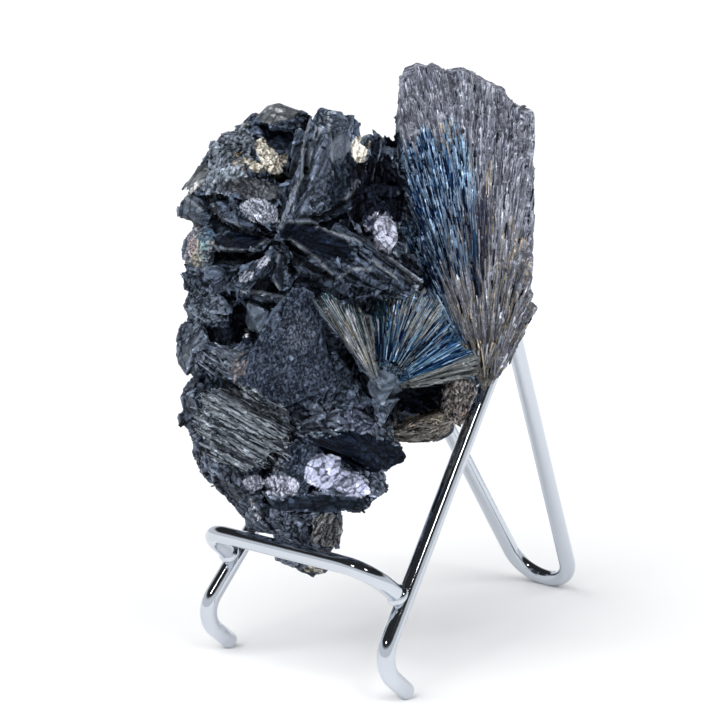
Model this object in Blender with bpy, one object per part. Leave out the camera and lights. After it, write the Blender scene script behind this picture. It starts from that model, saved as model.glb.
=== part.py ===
"""Berthierite crystal cluster resting on a bent-wire display easel.

Units are metres, +Z up. The easel faces -Y and is symmetric about X = 0. The cluster shows its best
face 40.6 degrees round from the easel's front, so its crystals are laid out in a face frame of their
own: X across the face, Y into the cluster and Z up. Lengths in the tables are millimetres.
"""

import math
import random

import bmesh
import bpy
from mathutils import Matrix, Vector, noise

MM = 0.001

# Where the easel's own middle line stands from the centre of the whole object's footprint.
EASEL_X = 0.58
EASEL_Y = -26.77

# Easel wire, 1/8 inch round, all points on the centre line of the left side.
WIRE_RADIUS = 1.6
FOOT_TIP = Vector((-21.5, 0.0, 0.8))
FRONT_BEND = Vector((-21.7, -8.1, 7.8))
SHOULDER = Vector((-15.2, 37.0, 61.2))
REAR_APEX = Vector((0.0, 95.1, -41.4))
FRONT_BEND_RADIUS = 5.0
SHOULDER_RADIUS = 3.5
REAR_FOOT_RADIUS = 7.2
WELD_ALONG_LEG = 0.182
LEDGE_CORNER = Vector((-19.8, -9.0, 25.0))
LEDGE_CORNER_RADIUS = 6.0
WELD_RADIUS = 2.1
WELD_LENGTH = 1.1
WELD_CAP = 0.3
ARC_STEP = math.radians(20)
CLEARANCE = 0.3
SHARP_FROM = math.radians(40)

# The block that grinds the easel's three standing flats level with the ground.
GROUND_CUT_CENTRE = (0, 30, -5)
GROUND_CUT_SIZE = (120, 160, 10)

FACE_TURN = math.radians(40.6)
TOWARDS_VIEWER = Vector((0.0, -1.0, 0.0))

# How crystals are shaped. Tip forms are planes that trim the tip, each given as its tilt across the
# width in degrees, a slight tilt through the thickness, and how far in from the tip it passes, as a
# share of the tip's width.
TIP_CUTS = {
    "blunt": [(18, 0.06), (-22, 0.08)],
    "slant": [(32, 0.30)],
    "chisel": [(38, 0.16), (-30, 0.16)],
    "round": [(60, 0.24), (25, 0.06), (-28, 0.06), (-58, 0.24)],
    "point": [(58, 0.10), (-58, 0.10)],
}
TIP_FORWARD_TILT = 0.1
TIP_THINNING = 0.8
BACK_SHRINK = 0.6
GROWN_INTO_NEXT = 1.02
LARGE_LUMP = 5.0
LUMP_WAVE = 1.7
FLAT_ANGLE = math.radians(4)
SEED = 4

# A chunk: name, how far it reaches back, and the corners of the faces it shows. Its back is the same
# outline drawn in a little.
UPPER_LEFT = [
    ("tall_column", 8, [
        (-5.5, -6, 81), (0, -1, 101), (1, -1, 102.5), (3.5, -1, 101), (6.5, 1, 101), (7.5, 2, 99.5),
        (8, 2, 97), (7, 1, 89.5), (5.5, 0, 84.5), (0, -5, 84), (-2.5, -7.5, 84), (1.5, -5, 97.5),
    ]),
    ("scaly_mass", 9, [
        (-18.5, 2, 95), (-17, 3, 97.5), (-15.5, 4, 98), (-13.5, 4, 98), (-9, -2, 94), (-7.5, -4, 89.5),
        (-11.5, -4, 87), (-17.5, -1, 88), (-19, 1, 91.5), (-13.5, -3, 93),
    ]),
    ("brow", 8, [
        (-13, 3, 99), (-12, 4, 100), (-10.5, 4, 100), (-9, 3, 98), (-9, 1, 96.5), (-6.5, -3, 91),
        (-9, -4, 89.5), (-12.5, -1, 95.5), (-13.5, 2, 97.5),
    ]),
    ("gold_slope", 5, [
        (-9.5, 0, 97), (-7.5, 1, 95), (-6, 2, 93.5), (-4.5, 3, 92.5), (-5, 2, 91.5), (-7, -2, 90.5),
        (-9, -3, 91.5), (-10.5, -2, 94.5),
    ]),
    ("brown_plate", 6, [
        (-14.5, -3, 89.5), (-11, -4, 90.5), (-6.5, -3, 90.5), (-5.5, -4, 89.5), (-6, -6, 87.5),
        (-6.5, -6, 86), (-11, -5, 86.5), (-14, -4, 88),
    ]),
    ("lit_plate", 5, [
        (-12.5, -4, 87), (-9, -5, 86.5), (-6.5, -6, 86), (-5.5, -7.5, 81.5), (-9, -6, 83),
        (-11, -5, 84.5), (-12.5, -4, 86),
    ]),
    ("shade_plate", 4, [
        (-15, -3, 88), (-12, -4, 86), (-11, -4, 83.5), (-9, -5, 81.5), (-11.5, -4, 81.5),
        (-14.5, -2, 84),
    ]),
    ("left_lens", 4, [
        (-17.5, -2, 80.5), (-14.5, -3, 82), (-10.5, -5, 81), (-7.5, -6, 80.5), (-9, -5, 78.5),
        (-14, -4, 78), (-17, -2, 78), (-13.5, -6, 80.5),
    ]),
    ("low_left_plate", 4, [
        (-6.5, -6, 78.5), (-9, -5, 76.5), (-12.5, -4, 75.5), (-15.5, -2, 72), (-16.5, -1, 70.5),
        (-13, -3, 71), (-9, -5, 74), (-6.5, -6, 77),
    ]),
    ("low_left_block", 6, [
        (-19.5, 0, 73.5), (-16.5, -1, 75.5), (-12.5, -3, 75.5), (-13.5, -2, 71.5), (-18, 0, 70),
        (-20, 1, 70),
    ]),
    ("hanging_blade", 8, [
        (-5.5, -7, 79.5), (-7.5, -4, 73), (-6, -4, 71), (-4.5, -5, 71.5), (-4.5, -6, 75), (-5, -7, 79),
    ]),
    ("hanging_shade", 5, [
        (-4.5, -5, 79), (3, -4, 73.5), (1, -3, 72), (-2.5, -2, 70.5), (-4.5, -3, 71),
    ]),
    ("dark_lens", 4, [
        (-4.5, -6.5, 81), (-3.5, -7, 83), (0.5, -7.5, 83), (4.5, -7.5, 81.5), (8, -6.5, 79.5),
        (7, -6, 78.5), (3.5, -4.5, 73.5), (-1, -6, 77),
    ]),
    ("top_lump", 6, [
        (-11, 5, 100), (-9.5, 5, 101), (-8.5, 5, 102.5), (-6.5, 5, 103), (-5, 5, 102.5), (-3.5, 5, 101),
        (-0.5, 4, 101), (-1.5, 1, 99), (-4.5, 0, 99), (-7.5, 1, 98.5),
    ]),
]
RECESS = [
    ("fan_root", 8, [
        (15, 12, 95), (17, 11, 97), (19, 11, 88), (22, 11, 78), (28, 11, 62), (22, 10, 60), (15, 9, 66),
        (13.5, 10, 76),
    ]),
    ("recess_wall", 8, [
        (7.5, 12, 94), (8.5, 10, 96.5), (11.5, 10, 97), (12, 12, 95), (15, 12, 95.5), (16, 12, 85),
        (17.5, 10, 74), (11.5, 6, 72), (6, 6, 74.5), (6, 8, 89),
    ]),
    ("cleaved_tooth", 3.5, [
        (12, 1, 84), (14, 0, 82.5), (14.5, -1, 79.5), (13, -2, 77.5), (9.5, -2.5, 81.5), (10, -2, 82.5),
        (11.5, 0, 83.5),
    ]),
    ("cleaved_corner", 3, [
        (8.5, -1, 82.5), (9.5, 0, 83), (11, 0, 82.5), (10, -2, 81), (9, -1.5, 81.5),
    ]),
    ("ledge", 5, [
        (8, 3, 89), (11, 3, 89), (14.5, 6, 87.5), (15.5, 9, 87.5), (14.5, 6, 86.5), (10, 3, 87),
        (8, 2, 86.5),
    ]),
    ("recess_block", 5, [
        (7, 2, 89), (9, 1, 88.5), (11.5, 0, 85), (10, 0, 82.5), (7, -2, 81.5), (5.5, -1, 84),
    ]),
    ("small_ball", 8, [
        (14, 0, 78.5), (16, 1, 78), (16, 1, 77), (14.5, 0, 76.5), (13.5, -1, 77.5),
    ]),
]
LEFT_EDGE = [
    ("shoulder_lobe", 7, [
        (-23.5, 4, 88), (-22, 4, 90), (-20.5, 5, 92), (-19, 4, 91.5), (-16.5, 0, 91), (-17, -1, 88),
        (-20, 0, 87.5), (-20, 0, 90),
    ]),
    ("cheek_lobe", 13, [
        (-23.5, 3, 86), (-24, 3, 84.5), (-24, 3, 83), (-22, 2, 82.5), (-19, 0, 82), (-18, -1, 84),
        (-19.5, -1, 86.5), (-22.5, 1, 87.5), (-21, -1, 85),
    ]),
    ("iridescent_lobe", 8, [
        (-21, 2, 81.5), (-23, 4, 79.5), (-23.5, 4, 77), (-23.5, 4, 75), (-20, 0, 74), (-18, -1, 75.5),
        (-17, -2, 79), (-18, -1, 81.5), (-20, -1, 79.5),
    ]),
    ("cheek_low", 5, [
        (-23.5, 4, 74.5), (-23.5, 4, 70), (-21.5, 2, 69), (-17, -1, 70), (-14, -2, 72.5),
        (-15.5, -2, 73.5), (-19.5, -1, 74.5), (-22.5, 2, 74.5),
    ]),
    ("side_lobe", 12, [
        (-23, 4, 68.5), (-24, 4, 67), (-23.5, 4, 66), (-21.5, 3, 64.5), (-18, 0, 64), (-15, -1, 64.5),
        (-15, -1, 67.5), (-16.5, -1, 69.5), (-19.5, -1, 69.5), (-19.5, -2.5, 67.5),
    ]),
    ("side_lobe_low", 9, [
        (-23.5, 4, 63.5), (-24.5, 4, 62), (-25, 4, 60), (-25, 4, 57), (-24, 4, 55.5), (-21.5, 2, 54),
        (-19.5, 0, 56.5), (-19, -1, 62), (-20.5, 1, 64.5), (-21.5, -1.5, 60),
    ]),
    ("striated_stack", 7, [
        (-19.5, -1, 61), (-16, -1, 60.5), (-13, -2.5, 59), (-13, -3, 56), (-16.5, -1, 55),
        (-19.5, 0, 56),
    ]),
    ("cavity_floor", 6, [
        (-18, 2, 60), (-11.5, 1, 61), (-9.5, -2, 61), (-11, -3, 59), (-16, -1, 58.5),
    ]),
    ("lit_facet", 4, [
        (-12.5, -2, 69), (-10, -3, 68), (-8, -4, 67.5), (-7.5, -4.5, 66), (-9.5, -4.5, 63),
        (-10.5, -3, 64), (-12, -2, 67),
    ]),
    ("pale_patch", 5, [
        (-15, -3, 57), (-12.5, -4, 59.5), (-9.5, -5, 61), (-9, -5.5, 56.5), (-12.5, -5.5, 53.5),
        (-15, -3, 54.5),
    ]),
]
CENTRE = [
    ("matte_blade", 8, [
        (-5, -8, 71), (-4, -8, 72), (-2, -8.5, 72.5), (-0.5, -8, 71.5), (0.5, -7, 70), (1, -6.5, 64.5),
        (2, -6, 59), (3.5, -5, 54.5), (-2.5, -7, 52.5), (-5.5, -7, 51), (-9.5, -6, 51.5),
        (-12.5, -5, 52.5), (-12.5, -5, 56.5), (-11.5, -5.5, 60.5), (-8, -6.5, 63.5), (-7, -7, 68),
        (-3.5, -9.5, 65), (-4.5, -9, 58),
    ]),
    ("matte_flank", 7, [
        (0.5, -4, 64), (3.5, -4, 60), (6.5, -4, 56), (10, -4, 51), (6, -5, 49), (1, -5, 48.5),
        (-3.5, -5, 51.5), (1, -6, 58.5),
    ]),
]
FAN_HUB = [
    ("fan_hub", 5, [
        (10.5, -8, 59), (12, -9, 60.5), (14, -9, 58.5), (15, -8.5, 56.5), (12, -9, 54.5), (12, -8, 52),
        (10, -8, 52.5), (9, -8, 55),
    ]),
    ("fan_hub_low", 5, [
        (10, -8, 52.5), (12, -7, 52), (15, -5, 52), (13, -5, 49.5), (11.5, -6, 47), (10.5, -6, 48.5),
    ]),
]
RIGHT_LOBE = [
    ("rim_lobe", 9, [
        (22, 3, 53), (25.5, 1, 55), (28.5, 3, 54), (29, 4, 51.5), (27.5, 4, 49), (26.5, 4, 45.5),
        (24, 2, 45.5), (22, 0, 47.5), (23.5, -1, 51),
    ]),
    ("fibrous_lobe", 8, [
        (13.5, -3, 45), (18.5, -3.5, 47.5), (22, -2, 48.5), (25, 0, 47), (24.5, 2, 44.5),
        (23.5, 2, 43.5), (21.5, 2, 42.5), (15, 0, 43), (13.5, -1, 43.5), (19.5, -5, 46),
    ]),
    ("cavity_back", 8, [
        (14.5, 5, 52.5), (26, 5, 54.5), (25, 5, 46), (14.5, 3, 44),
    ]),
    ("apex_lobe", 5, [
        (25, 3, 56), (29, 2, 58.5), (34, 3, 58), (33.5, 4, 55), (32, 5, 54), (29, 5, 52), (25, 4, 51.5),
    ]),
]
BASE = [
    ("stub_1", 11, [
        (-23.5, 3, 52.5), (-24.5, 3, 50.5), (-24, 3, 48.5), (-20.5, 0, 48.5), (-19, -1, 51),
        (-20.5, 0, 53.5), (-22, -1.5, 52),
    ]),
    ("stub_2", 5, [
        (-24, 3, 48), (-25, 3, 46.5), (-24, 3, 45.5), (-21.5, 1, 44.5), (-20, 0, 46.5),
        (-20.5, 0, 48.5),
    ]),
    ("lower_left", 10, [
        (-23, 2, 45), (-21.5, 2, 42.5), (-22, 2, 39.5), (-21, 2, 37), (-18, 1, 34), (-14, -2, 36.5),
        (-14, -4, 41.5), (-19.5, -2, 45.5), (-18.5, -3.5, 40.5),
    ]),
    ("lower_left_foot", 9, [
        (-20, 1, 36.5), (-18, 1, 34), (-15.5, 1, 32), (-13.5, 1, 29.5), (-9.5, -2, 32), (-9.5, -4, 37),
        (-13.5, -4, 39), (-16.5, -2, 39), (-13.5, -3.5, 35.5),
    ]),
    ("foot", 9, [
        (-13.5, 1, 30.5), (-12, 0, 28), (-12.5, 0, 26.5), (-10, -2, 27), (-6, -3, 26.5), (-4.5, -5, 30),
        (-5.5, -6, 32.5), (-11, -3, 32.5), (-9, -4.5, 30),
    ]),
    ("wedge", 9, [
        (-3.5, -7, 46.5), (2.5, -8, 48), (5, -7, 50), (10.5, -6, 47.5), (12.5, -5, 46.5), (15, -4, 43),
        (16, -3, 41), (15.5, -3, 40), (12.5, -4, 39), (8, -6, 41), (2.5, -7.5, 43.5),
        (-2.5, -7.5, 45.5), (6, -9.5, 45.5),
    ]),
    ("wedge_top", 4, [
        (-4, -7, 47), (1, -7.5, 49), (5, -6, 51.5), (6.5, -6, 52), (6.5, -7.5, 49.5), (2.5, -8.5, 48),
        (-2.5, -8, 47),
    ]),
    ("wedge_cap", 5, [
        (5, -6, 51.5), (9, -5, 49), (11, -5, 47.5), (9.5, -7, 46), (5, -8.5, 48),
    ]),
    ("chisel_rise", 5, [
        (-5, -6.5, 44), (-2.5, -7, 45.5), (1.5, -7, 43), (-1, -7.5, 41.5), (-1.5, -8, 38),
        (-1.5, -8, 35.5), (-6.5, -7, 35), (-7.5, -6, 39.5),
    ]),
    ("cleaved_face", 4, [
        (-1.5, -7, 39), (-0.5, -7, 41.5), (2.5, -7, 42.5), (4.5, -7, 42), (10, -8, 36),
        (6.5, -8.5, 35.5), (2.5, -8.5, 35.5), (-1.5, -8, 37.5),
    ]),
    ("cleaved_flank", 5, [
        (4.5, -6, 42), (6.5, -5, 39.5), (9, -4, 39), (12, -3, 37), (13, -3, 35.5), (11.5, -4, 34),
        (10.5, -7, 35),
    ]),
    ("chisel_band", 5, [
        (-9.5, -6, 35.5), (-2.5, -8.5, 35.5), (4.5, -9, 35.5), (10.5, -8, 35.5), (11, -8, 34.5),
        (9, -8, 33), (5, -8.5, 32.5), (-5.5, -7.5, 32), (-8, -6, 33),
    ]),
    ("right_foot", 4, [
        (5, -8, 33), (10, -6, 33.5), (9.5, -6, 32), (8, -6.5, 31.5), (5.5, -7, 32),
    ]),
    ("foot_chunk", 6, [
        (-0.5, -8.5, 32), (2.5, -8, 32.5), (4.5, -7, 32), (5, -6, 29.5), (4.5, -6, 27.5), (4, -7, 25.5),
        (1.5, -8.5, 26), (-0.5, -9, 27), (1, -9.5, 29.5),
    ]),
    ("foot_tip", 6, [
        (-6, -5, 31.5), (-0.5, -7, 31.5), (0, -7.5, 29), (-1.5, -8, 26), (-2.5, -7.5, 25.5),
        (-3, -7, 27), (-5.5, -5, 27), (-3, -7.5, 30),
    ]),
    ("rear_foot", 5, [
        (-8, 3, 29), (-7.5, 4, 21), (-3, 4, 19.5), (-0.5, 5, 18), (2, 4, 19.5), (3, 4, 23), (2, 3, 30),
        (-3, 2, 25),
    ]),
]

# A blade: name, root, tip, width at the root, width at the tip, thickness, roll in degrees about its
# length, form of the tip.
BLADES = [
    ("left_ridge", (-6, -6, 80.5), (-2, -1, 99), 1.6, 2.6, 4, 25, "slant"),
    ("front_ridge", (-5.5, -7.5, 81), (0, -3, 101), 1.4, 2.2, 4.5, -20, "slant"),
    ("left_sliver", (-10.5, -4, 80.5), (-18, 0, 86.5), 2.5, 3.2, 3, 0, "slant"),
    ("low_left_rib", (-6.5, -7, 79), (-14, -4, 70), 1.2, 3, 3, -10, "slant"),
    ("plate_1", (3, -4, 82), (18.5, -6, 72.5), 2.2, 1.8, 3.5, 25, "slant"),
    ("plate_2", (1, -4, 80.5), (17.8, -6, 71.5), 2.2, 1.8, 3.5, 25, "slant"),
    ("plate_3", (0.5, -4, 78.5), (16, -6, 70.5), 2.4, 1.8, 3.5, 25, "slant"),
    ("plate_4", (-1, -3, 76.5), (13.5, -5, 70), 3, 2, 3.5, 20, "slant"),
    ("plate_5", (-2, -3, 75), (9.5, -3, 70), 3.4, 2.4, 3.5, 20, "slant"),
    ("gold_tooth", (7, 5, 86), (8, 3, 97), 2.6, 3.6, 4, 20, "slant"),
    ("gray_tooth", (8, 7, 86), (11, 7, 98), 2.6, 3, 4, -20, "point"),
    ("notch_tooth", (13, 10, 89), (13.5, 9, 96), 5, 4.4, 4, 0, "chisel"),
    ("small_tooth_1", (10, 3, 82.5), (10.5, 1, 87.5), 1.8, 1.2, 2, 0, "point"),
    ("small_tooth_2", (13, 4, 82.5), (11.5, 1, 86.5), 1.5, 0.8, 1.6, 0, "point"),
    ("lit_bar", (-13.5, -1, 70.5), (-5.5, -4, 69.5), 2.2, 1.6, 2.4, 20, "slant"),
    ("lower_bar", (-13.5, 0, 69), (-9, -3, 67), 1.6, 1.4, 2, 0, "slant"),
    ("white_tooth", (-12.5, 0, 62.5), (-11, -2, 60.5), 1.6, 0.8, 1.4, 0, "point"),
    ("back_crown_1", (-4, 18, 76), (-17, 21, 92), 4, 9, 7, 160, "chisel"),
    ("back_crown_2", (-4, 18, 78), (-7, 21, 98.5), 4, 9, 7, 190, "slant"),
    ("back_crown_3", (-2, 18, 78), (7, 19, 96), 4, 9, 7, 175, "chisel"),
    ("back_wing", (0, 18, 74), (17, 18, 82), 4, 8, 7, 200, "slant"),
    ("back_rib_1", (-3, 20, 74), (13, 21, 66), 3, 6, 6, 150, "slant"),
    ("back_rib_2", (-4, 20, 73), (3, 23, 56), 3, 8, 6, 180, "chisel"),
    ("back_rib_3", (-6, 20, 73), (-12, 22, 56), 3, 8, 6, 200, "round"),
    ("back_rib_4", (-6, 20, 75), (-21, 17, 72), 3, 8, 7, 170, "slant"),
    ("heel_plate", (-3, 17, 58), (-5, 18, 38), 12, 9, 6, 185, "chisel"),
    ("heel_side", (-8, 12, 54), (-19, 10, 43), 7, 7, 7, 160, "slant"),
    ("heel_right", (4, 14, 54), (14, 8, 41), 8, 6, 7, 200, "slant"),
]

# A lump: name, centre, half sizes, unevenness of its outline.
LUMPS = [
    ("heart", (-4, 12, 70), (14, 12, 24), 0.08),
    ("heart_back", (-2, 16, 68), (13, 8, 22), 0.10),
    ("lower_heart", (-3, 5, 43), (13, 10, 14), 0.10),
    ("right_heart", (17, 9, 58), (11, 7, 13), 0.10),
    ("link", (10, 13, 80), (9, 7, 13), 0.10),
    ("hollow_ball", (-6.5, 4, 95), (3, 2.5, 2.8), 0.06),
    ("gem", (-17.5, -2.5, 74), (2.2, 2, 1.6), 0.06),
    ("tooth_row_1", (-11.3, -4, 37.5), (2, 2, 2), 0.14),
    ("tooth_row_2", (-6.5, -4.5, 37.5), (3.4, 2, 2), 0.14),
    ("crown_fill", (-7.5, 9, 95), (8, 6, 6), 0.12),
    ("left_fill_high", (-15.5, 10, 84), (7, 9, 12), 0.14),
    ("left_fill", (-16, 10, 66), (7, 8, 14), 0.14),
    ("left_fill_low", (-15.5, 8, 49), (7.5, 9, 12), 0.14),
    ("back_lump_3", (13, 12, 48), (6, 5, 5), 0.12),
]

# Short stout crystals over the hidden sides and back of the cluster: for each swelling the number of
# crystals, its centre and half sizes, and the range of heights and bearings that they grow from.
BACK_SWELLINGS = [
    (13, Vector((-4, 12, 68)), Vector((17, 9, 36)), (42, 97), (-25, 205)),
    (6, Vector((15, 10, 62)), Vector((10, 6, 20)), (50, 78), (5, 150)),
]
GOLDEN_STEP = 0.618
BACK_CRYSTAL_ROOT = 5.0
BACK_CRYSTAL_REACH = 3.5
BACK_CRYSTAL_LEAN = 0.7
BACK_CRYSTAL_WIDTHS = (5.0, 8.0)
BACK_CRYSTAL_TIP_WIDTHS = (4.0, 7.0)
BACK_CRYSTAL_THICKNESSES = (3.5, 5.5)

# Great fan: staves that spread from one point. Bearing in degrees from +X, reach, depth of its middle.
# How unevenly the staves of both fans stand: how far their roots sit forward or back, the thinnest as
# a share of the full thickness, and how far they roll in degrees.
FAN_ROOT_JITTER = 0.3
THINNEST_STAVE = 0.93
GREAT_STAVE_ROLL = 6
NEEDLE_STAVE_ROLL = 4

GREAT_FAN_FOCUS = Vector((30.5, 7.6, 50.5))
GREAT_FAN_START = 6.0
GREAT_FAN_SPREAD = 0.068
GREAT_FAN_THICKNESS = 9.0
GREAT_FAN_RIDGE = 0.9
GREAT_FAN = [
    (112.3, 31, 9.6), (109.9, 42, 10), (107.5, 50.5, 10.4), (105.0, 57.5, 10.4), (102.4, 60.5, 10.0),
    (99.7, 59.5, 9.4), (97.0, 58.5, 9.4), (94.3, 58.5, 8.6),
    (91.6, 57, 8.8), (88.9, 55.5, 8.2), (86.2, 53.5, 7.9), (83.4, 51.5, 7.2), (80.5, 40, 7.0),
    (77.4, 32, 7.2), (74.2, 27, 6.8), (70.8, 23, 7.0), (67.0, 20.5, 6.8), (62.8, 18.5, 7.2),
]
# Needle fan: bearing, reach, depth at the tip.
NEEDLE_FAN_FOCUS = Vector((11.5, -7.0, 54.5))
NEEDLE_FAN_SPREAD = 0.25
NEEDLE_FAN_THICKNESS = 6.0
NEEDLE_FAN_RIDGE = 0.8
NEEDLE_ROOT_WIDTH = 1.0
NEEDLE_FAN = [
    (120, 19.4, -8.5), (112, 15, -6.5), (101, 12.5, -1.5), (89, 14.4, 1), (77, 15.6, 1),
    (65, 16.2, 1), (53, 16.6, 0.6), (40, 15.2, -0.5), (27, 15.4, -1.6), (14, 17, -3.4),
]
# Striated block: a stack of slabs whose grain runs down to the right.
SLAB_COUNT = 7
SLAB_ROOT = Vector((-19.2, -4.0, 52.5))
SLAB_TIP = Vector((-4.6, -5.0, 45.4))
SLAB_ROOT_STEP = Vector((-0.1, 0.0, -1.4))
SLAB_TIP_STEP = Vector((-0.8, 0.0, -1.0))
SLAB_SIZE = (2.1, 1.9, 7.0)
SLAB_RIDGE = 0.6
SLAB_ROOT_JITTER = (0.8, 0.6)
SLAB_TIP_JITTER = (1.0, 0.6)


def material(name, colour, roughness, metallic):
    mat = bpy.data.materials.new(name)
    mat.use_nodes = True
    shader = mat.node_tree.nodes["Principled BSDF"]
    shader.inputs["Base Color"].default_value = (*colour, 1.0)
    shader.inputs["Roughness"].default_value = roughness
    shader.inputs["Metallic"].default_value = metallic
    return mat


def collection(name):
    made = bpy.data.collections.new(name)
    bpy.context.scene.collection.children.link(made)
    return made


def empty(name, home, location=(0, 0, 0), turn=0.0, parent=None):
    node = bpy.data.objects.new(name, None)
    node.location = location
    node.rotation_euler.z = turn
    node.parent = parent
    home.objects.link(node)
    return node


# --- Easel -------------------------------------------------------------------------------------


def mirrored(point):
    return Vector((-point.x, point.y, point.z))


def rounded_route(corners, radii):
    """Points of a bent wire: straight runs between the corners, an arc of the given radius at each."""
    route = [corners[0]]
    for before, corner, after, radius in zip(corners, corners[1:], corners[2:], radii):
        into = (corner - before).normalized()
        out = (after - corner).normalized()
        turn = into.angle(out)
        start = corner - into * radius * math.tan(turn / 2)
        inward = (out - into * into.dot(out)).normalized()
        centre = start + inward * radius
        steps = math.ceil(turn / ARC_STEP)
        for i in range(steps + 1):
            angle = turn * i / steps
            route.append(centre + (into * math.sin(angle) - inward * math.cos(angle)) * radius)
    route.append(corners[-1])
    return route


def wire(name, route, radius, home, mat, parent):
    """A round wire along the route, as a closed mesh."""
    curve = bpy.data.curves.new(name + "_route", "CURVE")
    curve.dimensions = "3D"
    curve.bevel_depth = radius * MM
    curve.bevel_resolution = 2
    curve.use_fill_caps = True
    spline = curve.splines.new("POLY")
    spline.points.add(len(route) - 1)
    for point, place in zip(spline.points, route):
        point.co = (*(place * MM), 1.0)
    drawn = bpy.data.objects.new(name + "_route", curve)
    home.objects.link(drawn)
    bpy.context.view_layer.update()
    mesh = bpy.data.meshes.new_from_object(drawn.evaluated_get(bpy.context.evaluated_depsgraph_get()))
    bm = bmesh.new()
    bm.from_mesh(mesh)
    bmesh.ops.remove_doubles(bm, verts=bm.verts, dist=1e-6)
    bm.to_mesh(mesh)
    bm.free()
    mesh.name = name
    solid = bpy.data.objects.new(name, mesh)
    solid.matrix_world = drawn.matrix_world
    bpy.data.objects.remove(drawn)
    solid.parent = parent
    mesh.materials.clear()
    mesh.materials.append(mat)
    home.objects.link(solid)
    return solid


def shade_round(solid):
    solid.data.shade_smooth()
    solid.data.set_sharp_from_angle(angle=SHARP_FROM)


def boolean(solid, operation, name, cutter=None, cutters=None):
    step = solid.modifiers.new(name, "BOOLEAN")
    step.operation = operation
    step.solver = "EXACT"
    if cutters:
        step.operand_type = "COLLECTION"
        step.collection = cutters
    else:
        step.object = cutter
    return step


def cutter(solid, home):
    solid.hide_render = True
    solid.display_type = "WIRE"
    home.objects.link(solid)
    return solid


def block(name, centre, size, home, parent):
    bm = bmesh.new()
    bmesh.ops.create_cube(bm, size=1.0)
    for vert in bm.verts:
        vert.co = Vector([(c + s * v) * MM for c, s, v in zip(centre, size, vert.co)])
    mesh = bpy.data.meshes.new(name)
    bm.to_mesh(mesh)
    bm.free()
    solid = cutter(bpy.data.objects.new(name, mesh), home)
    solid.parent = parent
    return solid


def frame_route():
    left = [FOOT_TIP, FRONT_BEND, SHOULDER]
    corners = left + [REAR_APEX] + [mirrored(p) for p in reversed(left)]
    radii = [FRONT_BEND_RADIUS, SHOULDER_RADIUS, REAR_FOOT_RADIUS, SHOULDER_RADIUS, FRONT_BEND_RADIUS]
    return rounded_route(corners, radii)


def ledge_route():
    weld = FRONT_BEND.lerp(SHOULDER, WELD_ALONG_LEG)
    arm = (LEDGE_CORNER - weld).normalized()
    left = [weld + arm * (WIRE_RADIUS + CLEARANCE + WELD_CAP), LEDGE_CORNER]
    corners = left + [mirrored(p) for p in reversed(left)]
    return rounded_route(corners, [LEDGE_CORNER_RADIUS] * 2)


def build_easel(home, tools, root):
    chrome = material("chrome_wire", (0.80, 0.80, 0.82), 0.08, 1.0)
    frame = wire("stand_frame", frame_route(), WIRE_RADIUS, home, chrome, root)
    ground = block("ground_cut", GROUND_CUT_CENTRE, GROUND_CUT_SIZE, tools, root)
    boolean(frame, "DIFFERENCE", "standing flats", cutter=ground)
    route = ledge_route()
    ledge = wire("stand_ledge", route, WIRE_RADIUS, home, chrome, root)
    for side, (end, inner) in {"left": route[:2], "right": (route[-1], route[-2])}.items():
        along = (inner - end).normalized()
        ends = [end - along * WELD_CAP, end + along * WELD_LENGTH]
        bead = wire("weld_" + side, ends, WELD_RADIUS, home, chrome, root)
        home.objects.unlink(bead)
        boolean(ledge, "UNION", "weld " + side, cutter=cutter(bead, tools))
    shade_round(frame)
    shade_round(ledge)


# --- Crystals ----------------------------------------------------------------------------------


def crystal(name, part):
    """The finished shape as a mesh in metres, in the face frame."""
    bmesh.ops.scale(part, vec=(MM, MM, MM), verts=part.verts)
    bmesh.ops.recalc_face_normals(part, faces=part.faces)
    bmesh.ops.triangulate(part, faces=part.faces)
    mesh = bpy.data.meshes.new(name)
    part.to_mesh(mesh)
    part.free()
    return mesh


def prism(length, widths, thickness, ridge):
    """A tapered six-sided bar along Z. It is bladed, with its long edges left and right, or if a ridge
    height is given it is a plank with a low ridge down the middle of its front and back."""
    part = bmesh.new()
    bmesh.ops.create_cone(part, segments=6, cap_ends=True, radius1=1, radius2=1, depth=length)
    for vert in part.verts:
        at_tip = vert.co.z > 0
        half_width = 0.5 * widths[at_tip]
        half_thickness = 0.5 * thickness * (TIP_THINNING if at_tip else 1.0)
        along, across = vert.co.y, vert.co.x
        if ridge is None:
            vert.co.x = along * half_width
            vert.co.y = across * half_thickness
        else:
            on_ridge = abs(across) < 0.1
            vert.co.x = 0.0 if on_ridge else math.copysign(half_width, across)
            vert.co.y = math.copysign(half_thickness - (0.0 if on_ridge else ridge), along)
        vert.co.z += length / 2
    return part


def blade(name, root, tip, root_width, tip_width, thickness, roll, form, ridge=None):
    """A bladed crystal or a plank of fibres, from root to tip, with its tip trimmed by planes."""
    root, tip = Vector(root), Vector(tip)
    along = (tip - root).normalized()
    across = along.cross(TOWARDS_VIEWER).normalized()
    facing = along.cross(across)
    length = (tip - root).length
    part = prism(length, (root_width, tip_width), thickness, ridge)
    for tilt, inset in TIP_CUTS[form]:
        normal = Vector((math.sin(math.radians(tilt)), TIP_FORWARD_TILT, math.cos(math.radians(tilt))))
        geometry = part.verts[:] + part.edges[:] + part.faces[:]
        passes = Vector((0, 0, length - inset * tip_width))
        cut = bmesh.ops.bisect_plane(
            part, geom=geometry, plane_co=passes, plane_no=normal, clear_outer=True
        )
        rim = [e for e in cut["geom_cut"] if isinstance(e, bmesh.types.BMEdge)]
        bmesh.ops.holes_fill(part, edges=rim)
    turned = Matrix((across, facing, along)).transposed().to_4x4()
    place = Matrix.Translation(root) @ turned @ Matrix.Rotation(math.radians(roll), 4, "Z")
    bmesh.ops.transform(part, matrix=place, verts=part.verts)
    return crystal(name, part)


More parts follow.
